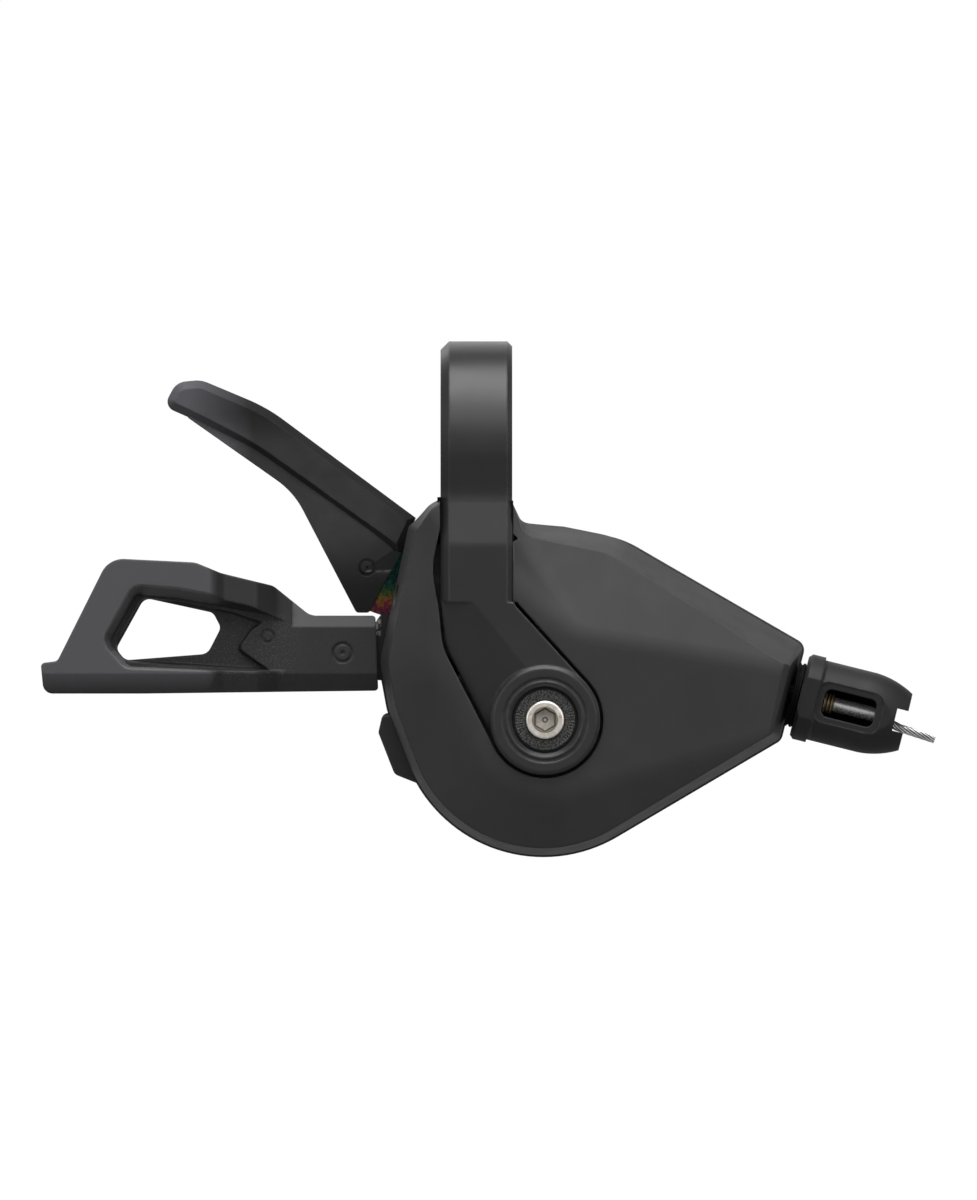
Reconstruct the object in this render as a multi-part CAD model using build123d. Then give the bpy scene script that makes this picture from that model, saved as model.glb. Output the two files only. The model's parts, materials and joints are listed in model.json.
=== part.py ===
from build123d import *
import math
import os

# Trigger gear shifter for a bicycle handlebar, in millimetres.
# The origin is the middle of the handlebar bore. +X runs along the bar towards the cable outlet,
# +Z is up, and -Y faces the viewer. Flat outlines are drawn in X and Z and given a depth in Y.
# A corner of an outline is (x, z) or (x, z, corner radius).

# Handlebar clamp
bar_radius = 11.1
bar_keep_out = 0.6
band_thickness = 3.5
band_left = -5.0
band_right = 5.1
band_kink_z = -22.2
band_left_bevel = 1.2
band_right_bevel = 0.7
rear_leg_end_z = -16.5
leg_top_z = -1.5
leg_waist_z = -7.0
leg_waist_step = 1.1
leg_foot_z = -14.1
leg_heel_z = -13.5
leg_inner_steps = (0.5, 1.2)
leg_radii = (6, 4, 3)
strap_front_y = -14.8
strap_top_z = 20.0
strap_end_z = -60.0
strap_right_degrees = 42.6
strap_left_degrees = 206.6
strap_kink_radius = 3
strap_left_radius = 8
strap_left_bends = ((0.7, -6.2), (0, 1))
strap_facet_start = (0.65, -23.5)
strap_facet_end = (8.0, -32.6)
strap_facet_slope = 0.28
boss_radius = 7.75
boss_front_y = -15.2
boss_bevel = 0.5
boss_groove_radius = 6.0
boss_groove_width = 0.5
boss_groove_depth = 0.25
bracket_seat_y = -11.0
rivet_radius = 1.2
rivet_head_radius = 2.0
rivet_head_height = 0.7
rivet_grip = 3.0
rivet_half_spacing = 2.6
rivet_rise = 2.6

# Clamp bolt and its cup washer
bolt_head_radius = 2.75
bolt_head_height = 1.1
bolt_head_edge = 0.35
bolt_shank_radius = 1.95
bolt_length = 9.4
bolt_hole_gap = 0.2
hex_across_flats = 3.0
hex_depth = 1.7
washer_radius = 4.23
washer_base = 0.5
washer_height = 1.0
washer_floor_y = -13.3
counterbore_radius = 4.68
counterbore_bevel = 0.55

# Main axle, shared by the bolt, the drum and both levers
axle_x = 9.72
axle_z = -38.77
axle_radius = 3.4
axle_flange_radius = 5.2
axle_flange = 0.8
axle_thread_depth = 7.5
axle_end = 0.4
nut_across_flats = 9.0
nut_height = 2.0
axle_washer_radius = 5.0
axle_washer_thickness = 0.5

# Clearances
fit_gap = 0.03
thread_gap = 0.05
run_gap = 0.06
hole_gap = 0.1
side_gap = 0.3
slide_gap = 0.15
least_corner = 0.4
through = 60
block_size = 300

# Covers
cover_face_y = -14.0
cover_wall = 1.3
cover_split_y = 2.0
cover_back_y = 14.5
cover_back_edge = 1.6
cover_step = 0.3
rear_panel_inset = 4.5
rear_panel_depth = 0.5
pod_centre = (9.5, -37.6)
pod_radius = 20.6
pod_arc_start_degrees = -59.5
pod_arc_end_degrees = -159.1
pod_right_corners = ((19.77, -12.7, 14), (46.55, -28.2, 1.6), (43.1, -41.7, 1.6))
pod_left_corners = ((-12.6, -37.5, 6), (-13.9, -30.5, 8), (-12.0, -21.7, 20))
front_top_corners = ((-9.8, -11.4, 2.5), (-7.2, -7.7, 4), (-4.4, -6.1, 0.8), (5.4, -6.4, 0.8), (6.7, -10.1, 2))
rear_top_corners = ((-10.0, -12.2, 3), (6.3, -12.2))
rear_lug_corners = ((-10.0, -37.4), (-13.2, -38.0, 1), (-13.8, -40.6, 0.8), (-11.5, -46.5, 1.2), (-4, -49.5))
taper_start_y = -2.0
top_taper = 3.6
side_taper = 1.3
notch_taper = 1.0
skirt_crease = ((-6.4, 6), (-7.2, -29.5, 12), (5.2, -51.2, 10.5), (46, -39.9), (70, -33.3), (70, 6))
skirt_slope = 0.30
skirt_depth = 8.0
skirt_radius = 8.0
skirt_seen_right_x = 60
skirt_seen_top_z = 5
scoop_corner = (14.1, -26.6)
scoop_right_end = (45.5, -31.7)
scoop_strap_end = (5.3, -18.2)
scoop_slope = 0.34
scoop_side_slope = 0.9
scoop_radius = 8.0
end_bevel_bottom = (41.2, -40.5)
end_bevel_top = (43.4, -30.0)
end_bevel_slope = 0.8
strap_gap_corners = ((-4.8, -10.6), (-6.3, -17.5, 12), (-4.8, -25.6))
strap_notch_corners = ((5.0, -12.4), (5.95, -13.3, 0.2), (5.0, -13.8))
strap_side_gap = 0.06
channel_gap = 0.45
saddle_notch_gap = 1.4
slot_left_x = -42
slot_right_x = -2
slot_front_y = -0.6
slot_back_y = 8.8
slot_top_z = -7.8
slot_bottom_z = -38.2

# Bracket, plates and layers along the axle
bracket_plate = 1.4
bracket_hub_radius = 12.6
bracket_arm_half = 5
bracket_neck_corners = ((-6.4, -13.2), (3.8, -13.2), (4.6, -24), (14, -34), (0, -34), (-6.4, -27))
pawl_arm_rim = 0.8
boss_seat_step = 0.8
saddle_side_gap = 0.4
saddle_front_y = -9.4
saddle_front_z = -8.0
saddle_rear_z = -6.2
saddle_foot_z = -17.4
saddle_belly_z = -15.4
saddle_root_z = -18.0
saddle_shoulder_z = -12.5
ratchet_thickness = 1.4
drum_thickness = 4.4
drum_back_y = -2.2
lever_plate = 1.4
release_plate_y = 1.2
main_plate_y = 5.6
support_plate_y = 8.8
support_plate_thickness = 1.2
support_hub_radius = 7
support_arm_half = 4
lever_hub_radius = 6.5
lever_spacer_radius = 4.8

# Winding drum and ratchets
cable_radius = 0.6
drum_flange_radius = 13.7
drum_groove_width = 1.7
drum_hole_count = 6
drum_hole_reach = 7.4
drum_hole_radius = 1.5
gear_count = 12
step_degrees = 15.0
ratchet_tip_radius = 11.0
tooth_depth = 1.5
notch_floor = 1.5
ramp_run = 1.7
flank_run = 0.1
nipple_radius = 1.4
nipple_length = 2.6
nipple_end_gap = 0.2
wrap_degrees = 60.0

# Pawls
hold_pin_radius = 1.2
hold_hub_radius = 2.2
hold_arm_half = 1.6
hold_pawl_gap = 0.7
hold_pawl_degrees = -2.0
hold_nose_degrees = 28.0
hold_pawl_swing = 7.0
hold_tail_reach = 3.2
hold_tail_half = 1.2
hold_tail_tip = 0.5
hold_pin_end = 0.6
trip_lead_degrees = 19.5
trip_reach = 12.4
trip_root_half = 3
trip_tip_half = 0.9
wind_pin_radius = 0.9
wind_collar_radius = 1.5
wind_collar_gap = 0.75
wind_hub_radius = 1.9
wind_arm_half = 1.3
wind_pawl_radius = 15.2
wind_pawl_degrees = 290.0
wind_nose_degrees = 318.0
wind_pawl_swing = 7.5
nose_width = 0.9
nose_clearance = 0.35

# Springs
clip_wire = 0.45
clip_leg_half = 0.22
clip_hub_gap = 0.1
hold_clip_lift = 0.4
hold_clip_turn = 14
hold_clip_share = 0.72
hold_clip_nose_share = 0.4
hold_clip_nose_offset = 1.2
wind_clip_turn = 14
wind_clip_step = 0.6
wind_clip_offset = 0.7
coil_strip = 0.5
coil_pitch = 1.5
coil_turns = 3
coil_axle_gap = 0.65
release_coil_radius = 5.2
release_coil_turns = 2
release_coil_width = 1.0

# Posts and cover screws
post_radius = 1.3
post_gap = 0.2
post_rim = 0.1
post_degrees = (76, -22, 215)
far_post_step = 3.8
screw_radius = 0.95
screw_head_radius = 2.1
screw_head_height = 1.2
screw_head_sink = 0.2
screw_cross_length = 2.6
screw_cross_width = 0.6
screw_cross_depth = 0.7
screw_tip_y = -11.6
front_screw_boss_radius = 2.3
rear_screw_boss_radius = 3.3

# Cable outlet and adjuster knob
outlet_x = 45.6
outlet_z = -35.4
outlet_drop_degrees = 14.0
outlet_boss_radius = 3.2
outlet_boss_length = 5.3
outlet_boss_gap = 1.7
outlet_rib_half = 2.6
outlet_rib_shift = 0.5
neck_gap = 0.86
seal_radius = 4.6
seal_cover_gap = 0.08
seal_knob_gap = 0.15
knob_length = 15.4
knob_flange_radius = 6.15
knob_flange = 2.4
knob_flange_edge = 0.5
knob_shoulder = 0.4
knob_body_radius = 5.75
knob_body_end = 8.6
knob_curve_at = 12.2
knob_curve_drop = 0.35
knob_end_radius = 4.1
knob_flat_half = 3.7
knob_flat_depth = 5.1
knob_side_half = 2.2
knob_bore_radius = 2.7
knob_wall = 3.0
window_start = 0.4
window_length = 7.5
window_width = 4.0
window_corner = 1.0
window_recess = 0.9
window_rim = 0.9
window_rim_corner = 1.4
end_slot_width = 3.2
end_slot_depth = 1.6
sleeve_radius = 1.4
sleeve_end = 5.0
tube_radius = 1.05
tube_end = 11.0
tube_root = 6.5
seat_thickness = 1.6
seat_hole_gap = 1.15
cable_stub = 4.6
cable_bend_start = 0.3
cable_bend_length = 3.8
cable_drop = 1.02
cable_end_slope = 0.068

# Release lever
release_corners = (
    (-14.2, -24.1, 0.5),
    (-23.4, -24.1, 2.5),
    (-28.6, -19.9, 2.0),
    (-36.0, -18.1, 4),
    (-39.6, -16.6, 3),
    (-51.75, -16.0, 3.4),
    (-59.0, -30.5, 0.8),
    (-61.35, -30.8, 0.6),
    (-60.95, -35.1, 1.4),
    (-47.0, -35.1),
    (-13.8, -34.7, 0.5),
)
release_window_corners = (
    (-46.8, -21.6, 1.4),
    (-37.1, -23.7, 1.2),
    (-36.0, -25.8, 1.2),
    (-37.9, -29.5, 1.6),
    (-49.5, -30.4, 1.4),
    (-50.8, -28.8, 1.0),
)
pocket_mouth_corners = (
    (-48.4, -19.6, 2.2),
    (-42.0, -20.1, 6),
    (-34.4, -21.5, 6),
    (-25.6, -24.9, 1.0),
    (-25.6, -32.3, 1.0),
    (-49.6, -31.6, 2.2),
    (-52.9, -27.8, 2.2),
)
pocket_wall_drafts = (1.6, 1.6, 0.5, 0.2, 0.4, 0.8, 1.2)
pocket_floor_corners = (
    (-47.2, -21.4, 1.4),
    (-41.6, -22.0, 6),
    (-34.2, -23.6, 3),
    (-30.0, -25.0),
    (-31.6, -26.2, 0.5),
    (-33.4, -28.7, 0.8),
    (-28.9, -31.9),
    (-49.4, -30.7, 1.4),
    (-51.2, -28.4, 1.4),
)
pocket_floor_draft = 0.35
pocket_floor_y = 0.9
arm_front_y = -0.2
arm_back_y = 4.0
arm_end_x = -13
arm_crease_z = -25.7
arm_bevel_end_x = -26
arm_bevel_slope = 0.6
step_front_y = -4.1
pad_front_y = -6.6
pad_end_x = -62
release_section_corners = (
    (arm_end_x, arm_front_y),
    (-27.6, arm_front_y, 2.5),
    (-31.0, step_front_y + 0.4, 1.2),
    (-35.4, step_front_y, 1.4),
    (-37.6, pad_front_y + 0.2, 2.0),
    (pad_end_x, pad_front_y),
    (pad_end_x, arm_back_y),
    (arm_end_x, arm_back_y),
)
bead_crease_z = -32.3
bead_depth = 10
bead_slope = 0.55
release_plate_corners = (
    (-8.0, -23.9, 5),
    (-13.4, -23.9, 0.6),
    (-14.6, -25.6, 0.6),
    (-24.0, -25.6, 1.5),
    (-27.0, -29.0, 1.5),
    (-24.0, -32.4, 1.5),
    (-9.0, -33.6, 6),
)
lever_root_half = 6.0
mark_depth = 0.2
release_ring_mark = (-29.4, -27.0)
release_ring_radius = 1.04
release_disc_mark = (-18.8, -29.3)
release_disc_radius = 1.5
mark_line = 0.4
mark_dot_radius = 0.3

# Main lever
main_bar_corners = (
    (-44.2, 5.5, 1.4),
    (-42.4, 8.9, 2.4),
    (-38.9, 9.25, 4),
    (-29.6, 5.35, 24),
    (-8.5, -10.3),
    (-10.7, -15.4),
    (-31.5, -0.7, 30),
    (-40.8, 4.0, 4),
)
main_web_corners = (
    (-14.0, -8.0),
    (-10.9, -15.6),
    (-15.1, -23.7, 0.6),
    (-16.9, -23.7, 0.6),
    (-25.8, -6.65, 12),
    (-40.8, 3.9),
    (-34.0, 5.5),
)
main_front_y = 4.5
main_front_line = ((main_front_y, -30), (main_front_y, -15.2, 14), (11.6, -6.0, 20), (16.0, 2.0, 9), (16.4, 14))
main_back_line = ((8.5, -30), (8.5, -11.4, 6), (20.5, -3.5, 12), (25.5, 2.0, 5), (26.0, 14))
main_web_step = 0.9
main_web_thickness = 3.0
bar_edge_bevel = 1.1
bar_tip_x = -42.3
bar_middle_z = -20.0
bar_middle_slope = -0.72
main_plate_corners = (
    (-6.0, -16.4, 3),
    (-11.6, -14.9, 1),
    (-15.6, -17.6, 1.5),
    (-17.2, -21.4, 1.0),
    (-15.2, -23.4, 1.0),
    (-9.0, -25.6, 4),
)
pawl_arm_root_half = 5
pawl_arm_tip_half = 2.2
main_mark = (-15.4, -17.3)
main_mark_radius = 1.25

# Values that follow from those above
axle = (axle_x, axle_z)
hold_pawl_radius = drum_flange_radius + hold_hub_radius + hold_pawl_gap
drum_front_y = drum_back_y - drum_thickness
cable_y = (drum_front_y + drum_back_y) / 2
hold_layer = (drum_front_y - ratchet_thickness, drum_front_y)
wind_layer = (drum_back_y, drum_back_y + ratchet_thickness)
plate_back_y = hold_layer[0] - side_gap - axle_flange
plate_front_y = plate_back_y - bracket_plate
release_back_y = release_plate_y + lever_plate
main_back_y = main_plate_y + lever_plate
support_back_y = support_plate_y + support_plate_thickness
screw_seat_y = cover_back_y - screw_head_height - screw_head_sink
rivet_z = rear_leg_end_z + rivet_rise
outlet_angle = math.radians(outlet_drop_degrees)
outlet_axis = (math.cos(outlet_angle), 0, -math.sin(outlet_angle))
pitch_radius = (outlet_x - axle_x) * math.sin(outlet_angle) + (outlet_z - axle_z) * math.cos(outlet_angle)
tangent_degrees = 90 - outlet_drop_degrees
nipple_degrees = tangent_degrees + wrap_degrees


# Helpers for outlines and solids

def outline(*corners):
    """Closed flat outline with its corners rounded."""
    points = [(corner[0], corner[1]) for corner in corners]
    radii = [corner[2] if len(corner) > 2 else 0 for corner in corners]
    return make_face(FilletPolyline(*points, radius=radii, close=True))


def inset(corners, by):
    """Corners of the same outline with each edge moved inwards, by one amount or by one for each edge."""
    count = len(corners)
    amounts = by if isinstance(by, (list, tuple)) else [by] * count
    ahead = [corners[(i + 1) % count] for i in range(count)]
    area = sum(a[0] * b[1] - b[0] * a[1] for a, b in zip(corners, ahead))
    turn = 1 if area > 0 else -1
    edges = []
    for a, b, amount in zip(corners, ahead, amounts):
        way = (Vector(b[0], b[1]) - Vector(a[0], a[1])).normalized()
        edges.append((Vector(a[0], a[1]) + Vector(-way.Y, way.X) * turn * amount, way))
    moved = []
    for i, corner in enumerate(corners):
        start, before = edges[i - 1]
        goal, after = edges[i]
        cross = before.X * after.Y - before.Y * after.X
        gap = goal - start
        place = start + before * ((gap.X * after.Y - gap.Y * after.X) / cross)
        radius = corner[2] if len(corner) > 2 else 0
        if radius and cross * turn > 0:
            radius = max(radius - (amounts[i - 1] + amounts[i]) / 2, least_corner)
        moved.append((place.X, place.Y, radius))
    return moved


def at_depth(face, y):
    """Put an X, Z outline at a depth in Y."""
    return Plane.XZ.offset(-y) * face


def slab(face, front, back):
    """Give an X, Z outline its depth, from front to back in Y."""
    return extrude(at_depth(face, back), amount=back - front)


def cutter(face):
    """An X, Z outline taken right through the object."""
    return slab(face, -through, through)


def drafted(corners, by, front, back):
    """Solid between an outline at one depth and the same outline, moved inwards, at another."""
    return loft([at_depth(outline(*corners), back), at_depth(outline(*inset(corners, by)), front)], ruled=True)


def bar_slab(face, left, right):
    """Give a Y, Z section its width along the bar."""
    return extrude(Plane.YZ.offset(left) * face, amount=right - left)


def rectangle(left, right, bottom, top):
    return outline((left, top), (right, top), (right, bottom), (left, bottom))


def disc(at, radius):
    return Pos(*at) * Circle(radius)


def ring(at, outer, inner):
    return disc(at, outer) - disc(at, inner)


def around_axle(radius, degrees):
    angle = math.radians(degrees)
    return (axle_x + radius * math.cos(angle), axle_z + radius * math.sin(angle))


def turned(point, centre, degrees):
    """A point turned counter-clockwise about a centre, as the viewer sees it."""
    angle = math.radians(degrees)
    dx = point[0] - centre[0]
    dz = point[1] - centre[1]
    return (
        centre[0] + dx * math.cos(angle) - dz * math.sin(angle),
        centre[1] + dx * math.sin(angle) + dz * math.cos(angle),
    )


def between(start, end, share):
    """The point at a share of the way from one point to another."""
    return (start[0] + (end[0] - start[0]) * share, start[1] + (end[1] - start[1]) * share)


def in_front(start, end, slope, face_y):
    """The space in front of a plane that falls away to the right of a crease on the face."""
    dx = end[0] - start[0]
    dz = end[1] - start[1]
    length = math.hypot(dx, dz)
    normal = (slope * dz / length, -1, -slope * dx / length)
    plane = Plane(origin=(start[0], face_y, start[1]), z_dir=normal)
    return plane * Pos(0, 0, block_size / 2) * Box(block_size, block_size, block_size)


def link(start, end, start_radius, end_radius):
    """Flat arm with round ends between two points."""
    dx = end[0] - start[0]
    dz = end[1] - start[1]
    length = math.hypot(dx, dz)
    side = (-dz / length, dx / length)
    arm = make_face(
        Polyline(
            (start[0] + side[0] * start_radius, start[1] + side[1] * start_radius),
            (end[0] + side[0] * end_radius, end[1] + side[1] * end_radius),
            (end[0] - side[0] * end_radius, end[1] - side[1] * end_radius),
            (start[0] - side[0] * start_radius, start[1] - side[1] * start_radius),
            close=True,
        )
    )
    return arm + disc(start, start_radius) + disc(end, end_radius)


def outlet_plane(along):
    """Plane across the cable line, at a distance from the knob's inner face."""
    origin = (outlet_x + along * outlet_axis[0], cable_y, outlet_z + along * outlet_axis[2])
    return Plane(origin=origin, x_dir=(0, 1, 0), z_dir=outlet_axis)


def below_outlet(along, drop):
    """A point below the cable line, at a distance along it."""
    down = Vector(-math.sin(outlet_angle), 0, -math.cos(outlet_angle))
    return outlet_plane(along).origin + down * drop


def outlet_tube(radius, start, end):
    return extrude(outlet_plane(start) * Circle(radius), amount=end - start)


def outlet_bore(radius):
    """A hole along the whole cable line."""
    return outlet_tube(radius, -through, through)


# Clamp band, bolt and washer

def strap_outline():
    """The strap runs straight down from the loop, then slants to the round boss on the axle."""
    left_bends = [(band_left + step, band_kink_z + rise, strap_left_radius) for step, rise in strap_left_bends]
    strap = outline(
        (band_left, strap_top_z),
        (band_right, strap_top_z),
        (band_right, band_kink_z, strap_kink_radius),
        around_axle(boss_radius, strap_right_degrees),
        axle,
        around_axle(boss_radius, strap_left_degrees),
        *left_bends,
    )
    return strap + disc(axle, boss_radius)


def band_section():
    """The band seen along the bar: a loop, a rear leg, and a front leg that leaves the bar for the boss."""
    outer = bar_radius + band_thickness
    loop = Circle(outer) - Pos(0, -outer) * Rectangle(3 * outer, 2 * outer)
    rear_leg = rectangle(bar_radius, outer, rear_leg_end_z, 0)
    upper, foot, heel = leg_radii
    inner_top, inner_waist = leg_inner_steps
    front_leg = outline(
        (-outer, 0),
        (-outer, leg_top_z, upper),
        (-outer + leg_waist_step, leg_waist_z, upper),
        (strap_front_y, leg_foot_z, foot),
        (strap_front_y, strap_end_z),
        (bracket_seat_y, strap_end_z),
        (bracket_seat_y, leg_heel_z, heel),
        (inner_waist - bar_radius, leg_waist_z, heel),
        (inner_top - bar_radius, 0),
    )
    return loop + rear_leg + front_leg - Circle(bar_radius)


def is_outer_edge(edge):
    """True for an edge on the outside of the band, seen along the bar."""
    middle = edge @ 0.5
    half_way = bar_radius + band_thickness / 2
    over_bar = middle.Z > 0 and math.hypot(middle.Y, middle.Z) > half_way
    behind_bar = middle.Y > half_way and middle.Z > rear_leg_end_z
    strap = middle.Y < -bar_radius - 1 and middle.Z > strap_end_z
    return over_bar or behind_bar or strap


def bevelled_loop():
    """Band round the bar and down the strap, with a wide bevel on its left edge and a narrow one on its right."""
    band = bar_slab(band_section(), band_left, band_right)
    for side, width in ((0, band_left_bevel), (-1, band_right_bevel)):
        face = band.faces().sort_by(Axis.X)[side]
        band = chamfer([edge for edge in face.edges() if is_outer_edge(edge)], width)
    return band


def clamp_band():
    below_kink = slab(rectangle(-through, through, -2 * through, band_kink_z), -through, 0)
    strap = bar_slab(band_section(), band_left - 1, axle_x + 2 * boss_radius) & cutter(strap_outline())
    strap = (strap & below_kink) - in_front(strap_facet_start, strap_facet_end, strap_facet_slope, strap_front_y)
    boss = slab(disc(axle, boss_radius), boss_front_y, bracket_seat_y)
    boss = chamfer(boss.faces().sort_by(Axis.Y)[0].edges(), boss_bevel)
    band = (bevelled_loop() - below_kink) + strap + boss
    mouth = disc(axle, counterbore_radius + counterbore_bevel)
    bore = disc(axle, counterbore_radius)
    band = band - slab(bore, boss_front_y - 1, washer_floor_y)
    band = band - loft([at_depth(mouth, boss_front_y), at_depth(bore, boss_front_y + counterbore_bevel)])
    groove = ring(axle, boss_groove_radius, boss_groove_radius - boss_groove_width)
    band = band - slab(groove, boss_front_y - 1, boss_front_y + boss_groove_depth)
    band = band - slab(disc(axle, bolt_shank_radius + bolt_hole_gap), -through, 0)
    for place in rivet_places():
        band = band - slab(disc(place, rivet_radius + fit_gap), 0, through)
    return band


def rivet_places():
    middle = (band_left + band_right) / 2
    return [(middle + side * rivet_half_spacing, rivet_z) for side in (-1, 1)]


def band_rivets():
    rivets = []
    head_y = bar_radius + band_thickness
    for place in rivet_places():
        shank = slab(disc(place, rivet_radius), bar_radius - rivet_grip, head_y)
        rivets.append(shank + slab(disc(place, rivet_head_radius), head_y, head_y + rivet_head_height))
    return Compound(children=rivets)


def clamp_washer():
    floor = washer_floor_y - fit_gap
    washer = slab(ring(axle, washer_radius, bolt_shank_radius + slide_gap), floor - washer_height, floor)
    return washer - slab(disc(axle, bolt_head_radius + hole_gap), -through, floor - washer_base)


def clamp_bolt():
    seat = washer_floor_y - washer_base - 2 * fit_gap
    head = slab(disc(axle, bolt_head_radius), seat - bolt_head_height, seat)
    head = fillet(head.faces().sort_by(Axis.Y)[0].edges(), bolt_head_edge)
    shank = slab(disc(axle, bolt_shank_radius), seat, seat + bolt_length)
    hexagon = Pos(*axle) * RegularPolygon(hex_across_flats / 2, 6, major_radius=False, rotation=90)
    return head + shank - slab(hexagon, -through, seat - bolt_head_height + hex_depth)


# Bracket, axle, posts and screws

def hold_pivot():
    return around_axle(hold_pawl_radius, hold_pawl_degrees)


def wind_pivot():
    return around_axle(wind_pawl_radius, wind_pawl_degrees)


def post_places():
    near = drum_flange_radius + post_radius + post_gap
    reaches = (near, near + far_post_step, near)
    return [around_axle(reach, degrees) for reach, degrees in zip(reaches, post_degrees)]


def bar_saddle():
    """Block under the bar, between the band's legs."""
    section = outline(
        (saddle_front_y, saddle_front_z),
        (bar_radius, saddle_rear_z),
        (bar_radius, saddle_foot_z),
        (6.0, saddle_foot_z, 3),
        (3.0, saddle_belly_z, 3),
        (plate_back_y, saddle_belly_z),
        (plate_back_y, saddle_root_z),
        (plate_front_y, saddle_root_z),
        (plate_front_y, saddle_shoulder_z),
    )
    return bar_slab(section, band_left + saddle_side_gap, band_right - saddle_side_gap)


def outlet_arm():
    """Cable outlet boss, carried by a rib from the bracket plate."""
    outer = -neck_gap - cover_wall - outlet_boss_gap
    inner = outer - outlet_boss_length
    middle = outlet_plane((inner + outer) / 2).origin
    foot = (middle.X - outlet_rib_shift, middle.Z)
    rib = link(hold_pivot(), foot, hold_hub_radius + pawl_arm_rim, outlet_rib_half)
    arm = slab(rib, plate_front_y, plate_back_y) + slab(disc(foot, outlet_rib_half), plate_front_y, cable_y)
    return outlet_tube(outlet_boss_radius, inner, outer) + arm - outlet_bore(sleeve_radius + fit_gap)


def bracket():
    arms = disc(axle, bracket_hub_radius) + outline(*bracket_neck_corners)
    for place in post_places():
        arms = arms + link(axle, place, bracket_arm_half, post_radius + post_rim)
    arms = arms + link(axle, hold_pivot(), bracket_arm_half, hold_hub_radius + pawl_arm_rim)
    plate = slab(arms, plate_front_y, plate_back_y)
    plate = plate + slab(disc(axle, boss_radius - boss_seat_step), bracket_seat_y, plate_back_y)
    body = plate + bar_saddle() + outlet_arm()
    body = body - bar_slab(Circle(bar_radius), -through, through)
    body = body - cutter(disc(axle, axle_radius + fit_gap))
    for place in post_places():
        body = body - slab(disc(place, screw_radius + hole_gap), -through, 0)
    body = body - slab(disc(hold_pivot(), hold_pin_radius + fit_gap), -through, 0)
    for place in rivet_places():
        body = body - slab(disc(place, rivet_radius + fit_gap), bar_radius - rivet_grip - fit_gap, through)
    return body


def main_axle():
    end_y = support_back_y + axle_washer_thickness + nut_height + axle_end
    shaft = slab(disc(axle, axle_radius), bracket_seat_y + fit_gap, end_y)
    shaft = shaft + slab(disc(axle, axle_flange_radius), plate_back_y, plate_back_y + axle_flange)
    return shaft - slab(disc(axle, bolt_shank_radius + thread_gap), -through, bracket_seat_y + axle_thread_depth)


def axle_washer():
    face = ring(axle, axle_washer_radius, axle_radius + fit_gap)
    return slab(face, support_back_y, support_back_y + axle_washer_thickness)


def axle_nut():
    start = support_back_y + axle_washer_thickness
    hexagon = Pos(*axle) * RegularPolygon(nut_across_flats / 2, 6, major_radius=False)
    return slab(hexagon - disc(axle, axle_radius + fit_gap), start, start + nut_height)


def support_plate():
    arms = disc(axle, support_hub_radius)
    for place in post_places():
        arms = arms + link(axle, place, support_arm_half, post_radius + post_rim)
    arms = arms - disc(axle, axle_radius + fit_gap)
    for place in post_places():
        arms = arms - disc(place, screw_radius + hole_gap)
    return slab(arms, support_plate_y, support_back_y)


def spacer_posts():
    tubes = [ring(place, post_radius, screw_radius + hole_gap) for place in post_places()]
    return Compound(children=[slab(tube, plate_back_y, support_plate_y) for tube in tubes])


def cover_screws():
    screws = []
    top = screw_seat_y + screw_head_height
    for place in post_places():
        screw = slab(disc(place, screw_radius), screw_tip_y, screw_seat_y)
        head = slab(disc(place, screw_head_radius), screw_seat_y, top)
        bars = Rectangle(screw_cross_length, screw_cross_width) + Rectangle(screw_cross_width, screw_cross_length)
        screws.append(screw + head - slab(Pos(*place) * bars, top - screw_cross_depth, through))
    return Compound(children=screws)


def lever_spacer():
    face = ring(axle, lever_spacer_radius, axle_radius + fit_gap)
    return slab(face, release_back_y + hole_gap, main_plate_y - hole_gap)


# Covers

def pod_corners(top_corners):
    """Corners of the pod, seen from the front; only its top left differs between the covers."""
    start = math.radians(pod_arc_start_degrees)
    end = math.radians(pod_arc_end_degrees)
    middle = (start + end) / 2
    reach = pod_radius / math.cos((start - end) / 2)
    bottom = (pod_centre[0] + reach * math.cos(middle), pod_centre[1] + reach * math.sin(middle), pod_radius)
    return [*top_corners, *pod_right_corners, bottom, *pod_left_corners]


def front_corners():
    """The front cover stands a small step inside the edge of the rear cover."""
    return inset(pod_corners(front_top_corners), cover_step)


def rear_corners():
    return pod_corners(rear_top_corners)


def skirt(face_y):
    """Space behind the raised face and the skirt that falls from its crease to the left and below."""
    back = face_y + skirt_depth
    wide = inset(skirt_crease, -skirt_depth / skirt_slope)
    form = loft([at_depth(outline(*skirt_crease), face_y), at_depth(outline(*wide), back)], ruled=True)
    form = form + slab(Rectangle(block_size, block_size), back, cover_split_y)
    seen = []
    for edge in form.faces().sort_by(Axis.Y)[0].edges():
        if edge.center().X < skirt_seen_right_x and edge.center().Z < skirt_seen_top_z:
            seen.append(edge)
    return fillet(seen, skirt_radius)


def scoop(face_y):
    """Space behind the raised face and the facet that is scooped out of it beside the strap."""
    upper = in_front(scoop_right_end, scoop_corner, scoop_slope, face_y)
    beside_strap = in_front(scoop_corner, scoop_strap_end, scoop_side_slope, face_y)
    form = slab(Rectangle(block_size, block_size), face_y, cover_split_y) - (upper & beside_strap)
    meeting = Vector(scoop_corner[0], face_y, scoop_corner[1])
    return fillet([edge for edge in form.edges() if edge.distance_to(meeting) < fit_gap], scoop_radius)


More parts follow.
